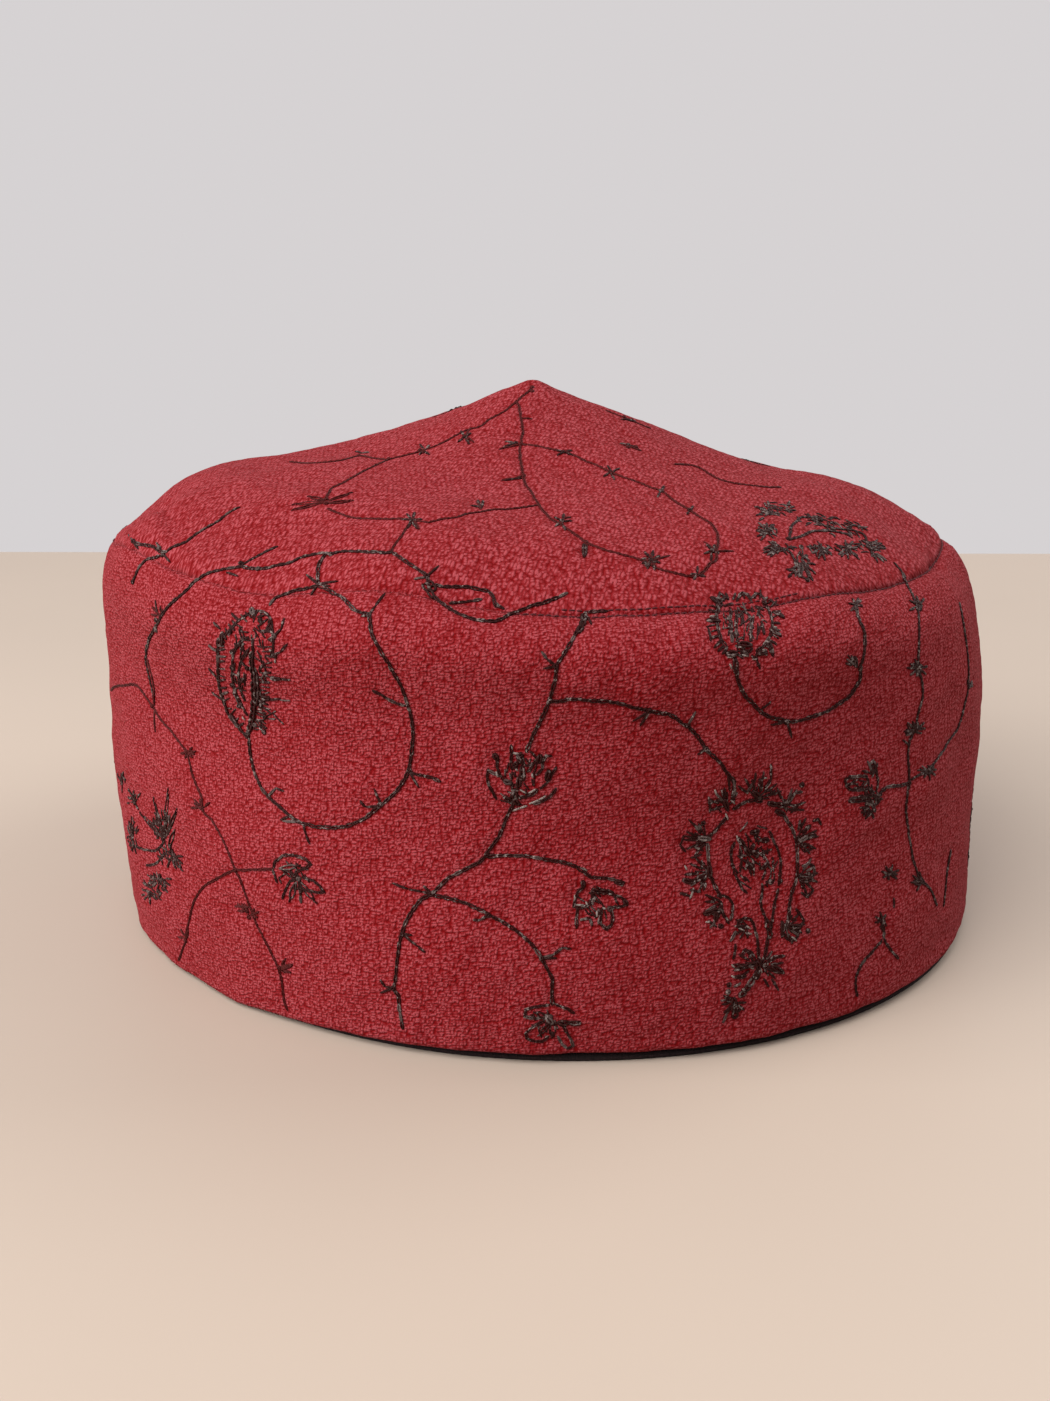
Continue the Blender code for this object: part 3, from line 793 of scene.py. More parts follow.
chart["rightFlower"] = {
    "fine": [
        [(868, 790), (864, 789.5), (850, 789.5), (845.5, 784), (848, 777.5), (866, 776.5), (869, 783)],
        [(868, 797), (862, 797), (850, 798.5), (849, 801), (856, 801.5), (866, 800)],
        [(874, 760), (876, 770), (878, 782), (877, 790)],
        [(874, 760), (870, 764), (873, 775)],
        [(866, 818), (872, 812), (875, 806), (880, 800)],
        [(864, 817), (866, 808), (869, 800)],
    ],
    "knots": [(872, 795), (880, 794), (874, 810)],
    "fans": [(873, 775, 868, 762, 90, 3), (870, 808, 862, 817, 110, 4)],
    "scribbles": [(871, 797, 9, 9, 32, 60), (857, 783, 9, 6, 12, 0), (874, 768, 3, 8, 9, 80)],
}
chart["crownLeft"] = {
    "fineVines": [
        [(532, 386), (528.8, 390.6), (520, 398), (511.5, 405), (503, 412), (492.5, 417), (480, 426),
         (470, 428.7), (456, 434.7), (451, 438), (442, 442.5), (432, 447), (420, 451), (411, 453.7),
         (401, 456), (388.6, 459), (380, 463), (368, 468.5), (359, 473), (350.6, 478), (340, 484),
         (331.5, 488), (326, 499)],
        [(327, 508), (335, 511.7), (347, 516), (359, 518), (373, 518.6), (387, 518.6), (401, 518.6),
         (413.7, 519.5), (428.5, 522), (442, 518.6), (456, 517), (466.5, 513.5), (480, 511.7), (494, 509),
         (508, 509), (520, 507.4), (532, 505.7), (539, 504.8)],
        [(414, 520), (407.7, 525.6), (401, 536), (394, 545.5), (391, 551.5)],
    ],
    "fine": [[(385, 459), (373, 458), (359, 455.5), (342, 460), (324.6, 462), (307, 463), (290, 461.5)]],
    "loops": [(326, 501, 297, 504), (326, 502, 297, 509), (325, 500, 310, 497), (327, 501, 348.8, 493.6),
        (327, 503, 349.7, 501)],
    "thorns": [(413.7, 519.5, 419, 529), (481, 509, 476, 500.5), (465, 434, 460, 441), (466, 436, 474, 442),
        (466, 434, 471, 427)],
    "knots": [(532, 387), (532, 391), (465, 436), (468, 439), (420, 450), (424, 452), (388.6, 459),
        (359, 455.5), (413.7, 519.5), (326, 499), (326, 503)],
}
chart["crownMiddle"] = {
    "fine": [
        [(511, 405), (518, 403), (520.7, 418), (522.5, 431), (520.7, 444), (519.7, 455), (521.6, 466),
         (523.5, 475.4), (525, 483), (531, 492), (537.4, 503), (544, 511.6), (551, 519), (560.6, 523.7),
         (570, 531), (579, 536.7), (585.7, 542), (590, 544), (605, 549.8), (620, 553.5), (635, 558),
         (650, 563), (657, 568), (672, 572), (687, 576), (700, 574), (709, 564.6), (716, 559), (716, 550.7),
         (717.7, 542), (716.8, 533), (711, 523.7), (702, 518), (690, 509.8), (676, 501.4), (662, 491),
         (651.7, 487.5), (638.7, 482), (624, 477), (611.8, 472.6), (599.7, 466), (586.7, 461.5)],
        [(566, 452), (551, 449), (536.5, 445.6), (521, 444)],
        [(587, 461.5), (577, 456.5), (566, 452)],
    ],
    "thorns": [(520.7, 444, 508.6, 446.6), (508.6, 446.6, 499, 449), (523.5, 475.4, 514, 478),
        (514, 478, 501, 480), (560.6, 523.7, 564, 518), (564, 518, 571, 517), (585.7, 542, 583.9, 557),
        (587, 543, 586, 555), (651, 563, 651.7, 553.5), (651, 561, 670, 555), (716, 550.7, 703.8, 541.4),
        (716, 550.7, 733.5, 550.7), (522, 418, 532, 418.7)],
    "knots": [(520.7, 444), (523.5, 475.4), (560.6, 523.7), (585.7, 542), (648, 560), (653, 565),
        (716, 550.7), (690, 509.8), (662, 491), (611.8, 472.6), (566, 452)],
}
chart["crownRight"] = {
    "fineVines": [[(606, 410), (627, 418.5), (650, 428)]],
    "fine": [
        [(674, 464), (696, 466), (715, 477), (730, 482), (750, 485), (769, 487), (780, 487)],
        [(622, 444), (632, 447), (640, 450)],
    ],
    "knots": [(624, 417), (632, 420), (628, 447), (636, 447)],
}
chart["crownPaisley"] = {
    "fineVines": [[(893.6, 562), (901, 570.6), (905.4, 576.5)]],
    "fine": [
        [(789, 540), (790, 533), (791.5, 526.5), (796.5, 521), (802, 517), (810, 517), (818, 519.5)],
        [(818, 522), (830, 527.5), (842, 529), (853.5, 530), (862.5, 533.5), (866, 539), (867, 547)],
        [(788, 539.5), (799, 537), (808, 533.5), (814, 531), (833, 531), (849, 534.5)],
        [(764, 552.5), (772, 550.5), (781, 548), (789, 550.5), (793, 557), (797, 566), (800, 574),
         (807, 580)],
        [(813.5, 544.5), (821.5, 549), (830.5, 552.5)],
        [(837.5, 546), (848, 548), (852, 553), (858, 558)],
        [(808, 555), (802, 560), (808, 571), (812.5, 580)],
    ],
    "knots": [(788.5, 539), (820, 520), (767, 513), (768, 532), (807, 580), (870, 549), (801, 547)],
    "fans": [(770, 513, 756, 500, 150, 6), (785, 510, 797, 503, 60, 3), (768, 532, 756, 525, 170, 6),
        (778, 549, 764, 548, 110, 5), (802, 562, 806, 580, 120, 6), (822, 549, 826, 560, 160, 5),
        (846, 548, 856, 556, 160, 5), (870, 549, 891, 551, 110, 7), (794, 572, 785, 574, 60, 2)],
    "scribbles": [(818, 520, 20, 6, 34, 14), (846, 529, 22, 7, 34, 22), (869, 546, 14, 7, 22, 20),
        (779, 548, 14, 5, 20, 10), (801, 564, 10, 13, 26, 60), (822, 549, 12, 5, 16, 30),
        (848, 549, 12, 6, 18, 30), (768, 530, 9, 7, 18, 30), (775, 508, 16, 7, 28, 20)],
}
chart["leftShoulder"] = {
    "vines": [
        [(133, 541), (140.4, 544.5), (152, 546), (162.5, 552.6), (172.8, 547), (183, 543.7), (193.5, 536),
         (202, 530), (212.6, 524.5), (220, 520), (227, 513.5), (237.7, 508)],
        [(160, 556), (155, 558), (148, 558.5), (142, 563.6), (137.4, 570), (133, 582)],
    ],
    "thorns": [(133, 541, 128, 534), (133, 541, 138, 549), (162, 552, 156, 542), (162, 552, 170, 562)],
    "knots": [(133, 541), (159, 548), (163, 555), (133, 582)],
}
chart["crownLeaves"] = {
    "blobs": [(584, 544, 584, 557)],
    "thorns": [(556, 450, 564, 452), (573, 455, 564, 452), (572, 450, 564, 452), (557, 455, 564, 452),
        (503, 447, 515, 443), (505, 441, 515, 443), (621, 419, 628, 420), (636, 421, 628, 420),
        (620, 443, 628, 445), (636, 447, 628, 445), (504, 480, 522, 478), (355, 451, 362, 453),
        (369, 452, 362, 453)],
    "fans": [(611, 472, 620, 475, 270, 4), (661, 491, 667, 495, 180, 2), (690, 510, 695, 514, 180, 2),
        (712, 551, 713, 560, 300, 5), (650, 560, 661, 559, 320, 8), (562, 521, 572, 520, 300, 5),
        (481, 508, 476, 498, 80, 3), (412, 520, 422, 525, 320, 6), (465, 437, 474, 439, 270, 4),
        (424, 450, 432, 451, 270, 4), (697, 574, 704, 569, 300, 4)],
    "knots": [(564, 452), (611, 472), (650, 560), (647, 565), (562, 521), (412, 520), (465, 437), (712, 551),
        (628, 420), (628, 445), (516, 443), (690, 510), (661, 491)],
}

# how each kind of stitch is sewn, in millimetres
stitching = {
    "vines": {"pitch": 1.5, "width": 0.62, "strand": 0.30},
    "fineVines": {"pitch": 1.35, "width": 0.45, "strand": 0.24},
    "fine": {"pitch": 1.3, "width": 0.48, "strand": 0.26},
    "thick": {"pitch": 1.4, "width": 1.15, "strand": 0.44},
    "thorns": {"width": 0.46, "strand": 0.28},
    "singles": {"width": 0.0, "strand": 0.30},
    "blobs": {"width": 1.20, "strand": 0.46},
    "glints": {"width": 0.22, "strand": 0.26},
    "loops": {"width": 1.05, "strand": 0.30},
    "sides": 6,
    "fineSides": 4,  # for the finer thread and for the back
    "widthSpread": 0.24,
    "loopWidest": 0.55,  # a loop is no wider than this share of its length
    "tieStrand": 0.9,  # share of the loop's strand
    "stray": 0.10,  # how far a needle hole may miss the line
    "longest": 2.6,  # of the crowded stitches, also where the photo shows the cloth aslant
    "chartSeed": 13,
    "seed": 7,
}
# the cloth is drawn down under the thread and stands a little proud on both sides of it, in metres
pull = {
    "every": 0.0008,
    "dip": 0.00016,
    "dipWidth": 0.0010,
    "swell": 0.00008,
    "swellAway": 0.0021,
    "swellWidth": 0.0009,
}
knot = {
    "size": 0.42,  # millimetres
    "strand": 0.34,
    "turns": 1.75,
    "steps": 13,
    "tighter": 0.45,  # how much closer to its middle a knot ends
    "foot": 0.25,  # heights in strand widths: the first turn, what is added by the last, and the tucked end
    "rise": 0.85,
    "tuck": 0.4,
    "startFrom": (0.31, 0.57, 0.76),  # any way that the turns are measured from
}
# how the crowded short stitches vary, as shares of their reach unless a note says more
crowding = {
    "leafTurn": 0.08,  # radians
    "leafStart": (0.25, 0.45),
    "leafEnd": (0.85, 1.1),
    "leafTaper": 0.30,  # the outermost leaves are shorter by half of this
    "stalkTurn": (0.1, 0.3),  # radians
    "stalkEnd": 1.6,  # in shares of the leaf's start
    "spikeEnd": (0.45, 1.15),
    "spikeLeaves": 0.5,  # this share of the spikes are leaves
    "scribbleTurn": 28.0,  # degrees
    "scribbleHalf": (2.5, 5.5),  # pixels
}


def mirrored(half):
    # a stitch that goes out on one side and comes back on the other
    return half + [(along, -aside, height) for along, aside, height in half[-2::-1]]


# the thread of a stitch: share of the way from root to tip, share of half the width, height in strand widths
linkLine = mirrored([(-0.05, 0.12, -0.60), (0.10, 0.36, 0.28), (0.35, 0.62, 0.62), (0.66, 0.70, 0.62),
                     (0.95, 0.56, 0.46), (1.14, 0.22, 0.34), (1.18, 0.0, 0.30)])
# an open leaf loop, held down at its tip by a small tie
loopLine = mirrored([(-0.02, 0.05, -0.60), (0.12, 0.26, 0.34), (0.36, 0.62, 0.52), (0.62, 0.82, 0.50),
                     (0.84, 0.58, 0.42), (0.97, 0.20, 0.36), (1.0, 0.0, 0.34)])
tieLine = [(0.88, 0.0, 0.10), (0.94, 0.0, 0.95), (1.04, 0.0, 1.05), (1.14, 0.0, 0.70), (1.22, 0.0, -0.50)]
# a thorn is two threads side by side, drawn together at both ends
thornLine = mirrored([(0.0, 0.10, -0.60), (0.06, 0.22, 0.30), (0.30, 0.46, 0.62), (0.62, 0.44, 0.66),
                      (0.90, 0.20, 0.42), (1.0, 0.0, 0.10)])
# a straight stitch from hole to hole
straightLine = [(0.0, 0.0, -0.60), (0.08, 0.0, 0.10), (0.32, 0.0, 0.40), (0.68, 0.0, 0.40), (0.92, 0.0, 0.10),
                (1.0, 0.0, -0.60)]
chainKinds = ("vines", "fineVines", "fine", "thick")
shortKinds = {"thorns": thornLine, "singles": straightLine, "blobs": thornLine, "glints": thornLine,
              "loops": loopLine}


def evenly(path, pitch):
    # the same line with a place about every pitch metres
    steps = np.linalg.norm(np.diff(path, axis=0), axis=1)
    along = np.concatenate([[0.0], np.cumsum(steps)])
    count = max(int(round(along[-1] / pitch)), 1) + 1
    spots = np.linspace(0.0, along[-1], count)
    return np.stack([np.interp(spots, along, path[:, axis]) for axis in range(3)], axis=1)


def offset(x, y, reach, angle):
    # the pixel that lies this far from another
    return x + reach * math.cos(angle), y + reach * math.sin(angle)


def untidy(kinds, chance):
    # the short stitches that crowd a motif, as pixels: fans of leaves, spikes along an edge, loose scribbles
    leaves, threads = [], []
    for rootX, rootY, tipX, tipY, spread, count in kinds.get("fans", []):
        reach = math.hypot(tipX - rootX, tipY - rootY)
        middle = math.atan2(tipY - rootY, tipX - rootX)
        for leaf in range(count):
            share = leaf / (count - 1) - 0.5
            angle = middle + math.radians(spread) * share + chance.normal(0.0, crowding["leafTurn"])
            start = reach * chance.uniform(*crowding["leafStart"])
            end = reach * (1.0 - crowding["leafTaper"] * abs(share)) * chance.uniform(*crowding["leafEnd"])
            leaves.append(offset(rootX, rootY, start, angle) + offset(rootX, rootY, end, angle))
            angle += chance.uniform(*crowding["stalkTurn"])
            threads.append((rootX, rootY) + offset(rootX, rootY, start * crowding["stalkEnd"], angle))
    for line, reach, every, lean in kinds.get("fringes", []):
        line = np.array(line, float)
        length = np.linalg.norm(np.diff(line, axis=0), axis=1).sum()
        spots = smoothCurve(line, max(int(length / every), 2))
        for (x, y), (alongX, alongY) in zip(spots, unit(np.gradient(spots, axis=0))):
            out = reach * chance.uniform(*crowding["spikeEnd"])
            slide = lean * chance.uniform(-1.0, 1.0)
            stitch = (x, y, x + alongY * out + alongX * slide, y - alongX * out + alongY * slide)
            (leaves if chance.uniform() < crowding["spikeLeaves"] else threads).append(stitch)
    for middleX, middleY, reachX, reachY, count, slant in kinds.get("scribbles", []):
        for _ in range(count):
            turn, away = chance.uniform(0.0, 2.0 * math.pi), math.sqrt(chance.uniform())
            x, y = middleX + reachX * away * math.cos(turn), middleY + reachY * away * math.sin(turn)
            angle = math.radians(slant + chance.normal(0.0, crowding["scribbleTurn"]))
            half = chance.uniform(*crowding["scribbleHalf"])
            threads.append(offset(x, y, -half, angle) + offset(x, y, half, angle))
    return leaves, threads


def readChart(tree):
    # the chart dropped on the cloth: lists of (kind, places) for each region
    sewn = {}
    chance = np.random.default_rng(stitching["chartSeed"])
    longest = stitching["longest"] / 1000.0
    for region, kinds in chart.items():
        lines = []
        leaves, threads = untidy(kinds, chance)
        for kind in chainKinds:
            for line in kinds.get(kind, []):
                path = seenLine(tree, line)
                if len(path) > 2:
                    lines.append((kind, path))
        charted = [(kind, kinds.get(kind, []), 1.0) for kind in shortKinds]
        for kind, pairs, most in charted + [("thorns", leaves, longest), ("singles", threads, longest)]:
            for x0, y0, x1, y1 in pairs:
                root, tip = seenAt(tree, x0, y0), seenAt(tree, x1, y1)
                if root is not None and tip is not None:
                    tip = root.lerp(tip, min(1.0, most / max((tip - root).length, 1e-6)))
                    lines.append((kind, np.array([tuple(root), tuple(tip)])))
        for x, y in kinds.get("knots", []):
            spot = seenAt(tree, x, y)
            if spot is not None:
                lines.append(("knots", np.array([tuple(spot)])))
        sewn[region] = lines
    return sewn


def turnedRound(lines, degrees, tree):
    # the same lines carried round the cap and dropped on the cloth again from outside
    angle = math.radians(degrees)
    spin = np.array([[math.cos(angle), -math.sin(angle), 0.0], [math.sin(angle), math.cos(angle), 0.0],
                     [0.0, 0.0, 1.0]])
    return [(kind, dropped(path @ spin.T, tree)) for kind, path in lines]


def dropped(path, tree):
    return np.array([tuple(tree.find_nearest(Vector(point))[0]) for point in path])


frontLines = readChart(clothTree)
count = sum(len(lines) for lines in frontLines.values())
print("embroidery charted:", count, "lines in", len(frontLines), "regions")
# the sides and the back, which the photo doesn't show, have the same embroidery turned round the cap
unseen = {
    "backTurn": 180.0,  # degrees
    "sideTurns": (90.0, -90.0),
    "sideRegions": ("centreVine", "lotus", "rightSmallFlower", "lowerFlower"),
}
backLines = []
for lines in frontLines.values():
    backLines += turnedRound(lines, unseen["backTurn"], clothTree)
for region in unseen["sideRegions"]:
    for degrees in unseen["sideTurns"]:
        backLines += turnedRound(frontLines[region], degrees, clothTree)


def sunk(grids, lines):
    # draws the cloth down along the stitched lines
    path = np.concatenate([evenly(path, pull["every"]) if len(path) > 1 else path for _, path in lines])
    lineTree = pointTree(path)
    out = []
    for grid in grids:
        away = distanceTo(lineTree, grid)
        press = pull["dip"] * np.exp(-(away / pull["dipWidth"]) ** 2)
        press -= pull["swell"] * np.exp(-((away - pull["swellAway"]) / pull["swellWidth"]) ** 2)
        out.append(grid - gridNormals(grid) * press[..., None])
    return out


allLines = backLines + [line for lines in frontLines.values() for line in lines]
bandOuter, crownOuter = joined(*sunk([bandOuter, crownOuter], allLines))
clothTree = treeOfGrids([bandOuter, crownOuter])
print("cloth drawn in along the stitches")


# mesh making
def newPiece(name, corners, faces, uv, material):
    # uv holds one pair for each corner of each face
    mesh = bpy.data.meshes.new(name)
    mesh.from_pydata(np.asarray(corners).tolist(), [], [tuple(face) for face in faces])
    mesh.uv_layers.new(name="cut").data.foreach_set("uv", np.asarray(uv, np.float32).reshape(-1))
    mesh.polygons.foreach_set("use_smooth", np.ones(len(mesh.polygons), bool))
    mesh.materials.append(material)
    piece = bpy.data.objects.new(name, mesh)
    bpy.context.scene.collection.objects.link(piece)
    return piece


def countTriangles(piece):
    print(piece.name, sum(len(face.vertices) - 2 for face in piece.data.polygons), "triangles")


def facesOut(corners, faces):
    # true where the closed form's faces look outward
    a, b, c, d = (corners[faces[:, index]] for index in range(4))
    volume = np.einsum("ij,ij->i", a, np.cross(b, c)).sum() + np.einsum("ij,ij->i", a, np.cross(c, d)).sum()
    return volume > 0.0


def closedGrid(name, corners, heights, across, material):
    # a ring of cloth that closes round the cap and round its own thickness
    rows, columns = corners.shape[:2]
    faces, rowCorners, columnCorners = ringFaces(rows, columns, wrapRows=True)
    heights = np.concatenate([heights, heights[:1]])
    uv = np.stack([across[columnCorners], heights[rowCorners, columnCorners % columns]], axis=-1)
    flat = corners.reshape(-1, 3)
    if not facesOut(flat, faces):
        faces, uv = faces[:, ::-1], uv[:, ::-1]
    return newPiece(name, flat, faces.tolist(), uv, material)


def girth(line):
    # distance along a closed line, with the whole length as its last value
    closed = np.concatenate([line, line[:1]])
    return np.concatenate([[0.0], np.cumsum(np.linalg.norm(np.diff(closed, axis=0), axis=1))])


def wallAt(fromSeam, wall):
    # thickness: the full wall, pressed thin towards the seam
    share = np.clip(fromSeam / cloth["thinReach"], 0.0, 1.0)
    return cloth["seamWall"] + (wall - cloth["seamWall"]) * share * share * (3.0 - 2.0 * share)


def bandShell(material):
    # outer face from the seam down, round the turned hem, and the inner face up to the seam again
    rise, normals = walked(bandOuter), gridNormals(bandOuter)
    radius, wall = cloth["hemRound"], cloth["bandWall"]
    first = int(np.argmax(rise.min(axis=1) > radius))
    up = unit(bandOuter[cloth["hemWayRow"]] - bandOuter[0])
    out = normals[cloth["hemFaceRow"]]
    downwards = range(len(bandOuter) - 1, first - 1, -1)
    rows, heights = [bandOuter[index] for index in downwards], [rise[index] for index in downwards]
    for swing in np.linspace(0.0, math.pi, cloth["hemSteps"]):
        lift = radius * (1.0 - abs(math.sin(swing)))
        inset = radius * (1.0 - math.cos(swing))
        if swing > math.pi / 2.0:
            inset += wall - 2.0 * radius
        rows.append(bandOuter[0] + up * lift - out * inset)
        heights.append(rise[0] + radius - swing * radius)
    for index in np.linspace(first, len(bandOuter) - 1, cloth["innerRows"]).round().astype(int):
        thick = wallAt(rise[-1] - rise[index], wall)
        thick = np.maximum(thick + np.minimum(bandFill[index], 0.0), np.minimum(thick, cloth["thinnest"]))
        rows.append(bandOuter[index] - normals[index] * thick[:, None])
        heights.append(-radius * 2.0 - rise[index])
    around = girth(bandGrid[cloth["girthRow"]])
    return closedGrid("bandCloth", np.array(rows), np.array(heights), around, material)


def crownShell(material):
    # outer face from the peak down to the seam, and the inner face back up to the peak
    rise, normals = walked(crownOuter), gridNormals(crownOuter)
    columns, wall = crownOuter.shape[1], cloth["crownWall"]
    picks = np.linspace(0, len(crownOuter) - 1, cloth["innerRows"] + 2).round().astype(int)
    inner = [crownOuter[index] - normals[index] * wallAt(rise[index], wall)[:, None] for index in picks]
    rows = [crownOuter[index] for index in range(len(crownOuter) - 1, -1, -1)] + inner
    tips = [crownOuter[-1].mean(axis=0) + np.array([0.0, 0.0, cloth["peakLift"]]), inner[-1].mean(axis=0)]
    corners = np.concatenate([np.array(rows).reshape(-1, 3), tips])
    quads, _, _ = ringFaces(len(rows), columns)
    topTip, innerTip = len(rows) * columns, len(rows) * columns + 1
    faces = quads.tolist()
    lastRow = (len(rows) - 1) * columns
    for column in range(columns):
        beside = (column + 1) % columns
        faces.append((beside, column, topTip))
        faces.append((lastRow + column, lastRow + beside, innerTip))
    if not facesOut(corners, quads):
        faces = [tuple(reversed(face)) for face in faces]
    uv = corners[[corner for face in faces for corner in face]][:, :2]
    return newPiece("crownCloth", corners, faces, uv, material)


# the dark inner band: a folded strip whose foot stands on the table under the hem; the dark foot is partly
# the band's own cloth and partly painted shadow under the hem
innerBand = {
    # inset from the band's outer face and height above the table, in millimetres, once round the strip
    "section": [(0.55, 0.85), (0.62, 0.40), (0.85, 0.10), (1.30, 0.0), (2.20, 0.0), (3.20, 0.0), (3.90, 0.0),
                (4.22, 0.18), (4.32, 0.70), (4.32, 3.0), (4.32, 8.0), (4.32, 14.0), (4.32, 20.0),
                (4.32, 26.0), (4.30, 29.4), (4.10, 29.85), (3.80, 30.0), (3.50, 29.85), (3.32, 29.4),
                (3.32, 26.0), (3.32, 20.0), (3.32, 14.0), (3.32, 8.0), (3.32, 3.0), (3.22, 1.9), (2.95, 1.48),
                (2.20, 1.42), (1.30, 1.40), (0.80, 1.28)],
    "columns": 600,
    "girthRow": 2,  # its length is measured round this row
    "ribEvery": 0.0021,  # metres round the foot
    "ribDepth": 0.05,  # millimetres
    "footFades": 2.0,  # the foot's ribs and tuck end this far up and in, in millimetres
    # where the hem hangs lower, the foot stands further in and its rim is pressed flatter
    "tuck": 1.6,
    "flatten": 0.6,
    "flattest": 0.2,
    "flatBelow": 1.6,  # millimetres
}


def innerBandShell(material):
    base = innerBase[::2]  # every second row is enough
    heights = base[:, :, 2].mean(axis=1)
    outwards = unit(gridNormals(innerBase)[::2] * np.array([1.0, 1.0, 0.0]))
    columns, fades, rim = innerBand["columns"], innerBand["footFades"], innerBand["section"][0][1]
    around = girth(smoothCurve(base[innerBand["girthRow"]], columns, closed=True))
    ribs = np.sin(around[:-1] * 2.0 * math.pi / innerBand["ribEvery"])
    rows = []
    for inset, height in innerBand["section"]:
        place = np.interp(height / 1000.0, heights, np.arange(len(heights)))
        below = min(int(place), len(heights) - 2)
        share = place - below
        line = base[below] * (1.0 - share) + base[below + 1] * share
        out = outwards[below] * (1.0 - share) + outwards[below + 1] * share
        line, out = smoothCurve(line, columns, closed=True), smoothCurve(out, columns, closed=True)
        drop = tableAt(shoulder["hemDrop"], np.degrees(azimuthOf(line)))
        foot = max(0.0, 1.0 - height / fades) * max(0.0, 1.0 - inset / fades)
        inset = inset + drop * foot * innerBand["tuck"] - ribs * innerBand["ribDepth"] * foot
        row = line - out * np.reshape(inset / 1000.0, (-1, 1))
        row[:, 2] = height / 1000.0
        if height < innerBand["flatBelow"]:
            row[:, 2] *= np.maximum(1.0 - drop / rim * innerBand["flatten"], innerBand["flattest"])
        rows.append(row)
    rows = np.array(rows)
    return closedGrid("innerBandCloth", rows, walked(rows[:, :1]).repeat(columns, axis=1), around, material)


# thread as tubes; in its cut, each stitch has a whole number of its own and runs from that to the next
tubing = {
    "margin": 0.01,
    "groupStep": 1000.0,  # where the next group's numbers begin
}


def tubes(name, work, material, sides):
    # work holds (centres, up, strand) groups: centres are stitches by points, up is one way for each stitch
    corners, faces, uv = [], [], []
    first = 0
    angles = np.arange(sides) * 2.0 * math.pi / sides
    for centres, up, strand in work:
        count, points = centres.shape[:2]
        along = unit(np.gradient(centres, axis=1))
        side = unit(np.cross(np.broadcast_to(up[:, None], along.shape), along))
        over = np.cross(along, side)
        ring = np.cos(angles)[:, None] * side[:, :, None] + np.sin(angles)[:, None] * over[:, :, None]
        tube = centres[:, :, None] + ring * (strand / 2.0)
        corners.append(tube.reshape(-1, 3))
        quads, rows, turns = ringFaces(points, sides)
        caps = np.array([[0, start + 2, start + 1, start] for start in range(1, sides - 2, 2)])
        caps = np.concatenate([caps, (points - 1) * sides + caps[:, ::-1]])
        quads = np.concatenate([quads, caps])
        pairs = np.stack([rows / (points - 1.0), turns / sides], axis=-1)
        pairs = np.concatenate([pairs, np.zeros((len(caps), 4, 2))]) * (1.0 - 2.0 * tubing["margin"])
        numbers = np.arange(count)
        faces.append((quads[None] + (first + numbers * points * sides)[:, None, None]).reshape(-1, 4))
        places = np.stack([numbers + len(uv) * tubing["groupStep"], np.zeros(count)], axis=1)
        uv.append((pairs[None] + tubing["margin"] + places[:, None, None]).reshape(-1, 2))
        first += count * points * sides
    corners, faces, uv = (np.concatenate(parts) for parts in (corners, faces, uv))
    return newPiece(name, corners, faces.tolist(), uv, material)


def upAt(points, tree):
    # the cloth's outward way beside each point
    ways = []
    for point in points:
        way = tree.find_nearest(Vector(point))[1]
        outwards = Vector(point) - Vector((0.0, 0.0, cloth["insideHeight"]))
        ways.append(tuple(way if way.dot(outwards) > 0.0 else -way))
    return np.array(ways)


def laid(roots, tips, up, line, width, strand):
    # the thread of one kind of stitch laid between each root and tip, as centres
    length = np.linalg.norm(tips - roots, axis=1)
    along = unit(tips - roots)
    side = unit(np.cross(up, along))
    line = np.array(line)
    return (roots[:, None] + along[:, None] * (line[:, 0, None] * length[:, None, None])
            + side[:, None] * (line[:, 1, None] * width[:, None, None] / 2.0)
            + up[:, None] * (line[:, 2, None] * strand))


def coil(spots, up, chance):
    # small knots: thread wound round and tucked in at the middle
    share = np.linspace(0.0, 1.0, knot["steps"])
    angle = share * 2.0 * math.pi * knot["turns"]
    reach = knot["size"] / 1000.0 * (1.0 - knot["tighter"] * share)
    reach[-1] = 0.0
    strand = knot["strand"] / 1000.0
    lift = strand * (knot["foot"] + knot["rise"] * share)
    lift[0], lift[-1] = 0.0, strand * knot["tuck"]
    angle = angle + chance.uniform(0.0, 2.0 * math.pi, len(spots))[:, None]
    side = unit(np.cross(up, np.array(knot["startFrom"])))
    other = np.cross(up, side)
    return (spots[:, None] + side[:, None] * (np.cos(angle) * reach)[..., None]
            + other[:, None] * (np.sin(angle) * reach)[..., None] + up[:, None] * lift[:, None])


def sew(name, lines, tree, material, seed, sides):
    chance = np.random.default_rng(seed)
    stray, spread = stitching["stray"] / 1000.0, stitching["widthSpread"]
    groups = {}
    for kind, path in lines:
        if kind in chainKinds:
            path = evenly(path, stitching[kind]["pitch"] / 1000.0)
            path = path + chance.uniform(-stray, stray, path.shape)
        if kind == "knots":
            ends = (path, path)
        else:
            path = dropped(path, tree)
            ends = (path[:-1], path[1:])
        groups.setdefault(kind, []).append(ends)
    work = []
    for kind, pairs in groups.items():
        roots, tips = (np.concatenate(ends) for ends in zip(*pairs))
        up = upAt((roots + tips) / 2.0, tree)
        if kind == "knots":
            work.append((coil(dropped(roots, tree), up, chance), up, knot["strand"] / 1000.0))
            continue
        width, strand = stitching[kind]["width"] / 1000.0, stitching[kind]["strand"] / 1000.0
        widths = width * chance.uniform(1.0 - spread, 1.0 + spread, len(roots))
        if kind == "loops":
            widths = np.minimum(widths, np.linalg.norm(tips - roots, axis=1) * stitching["loopWidest"])
        work.append((laid(roots, tips, up, shortKinds.get(kind, linkLine), widths, strand), up, strand))
        if kind == "loops":
            tie = laid(roots, tips, up, tieLine, widths, strand)
            work.append((tie, up, strand * stitching["tieStrand"]))
    return tubes(name, work, material, sides)


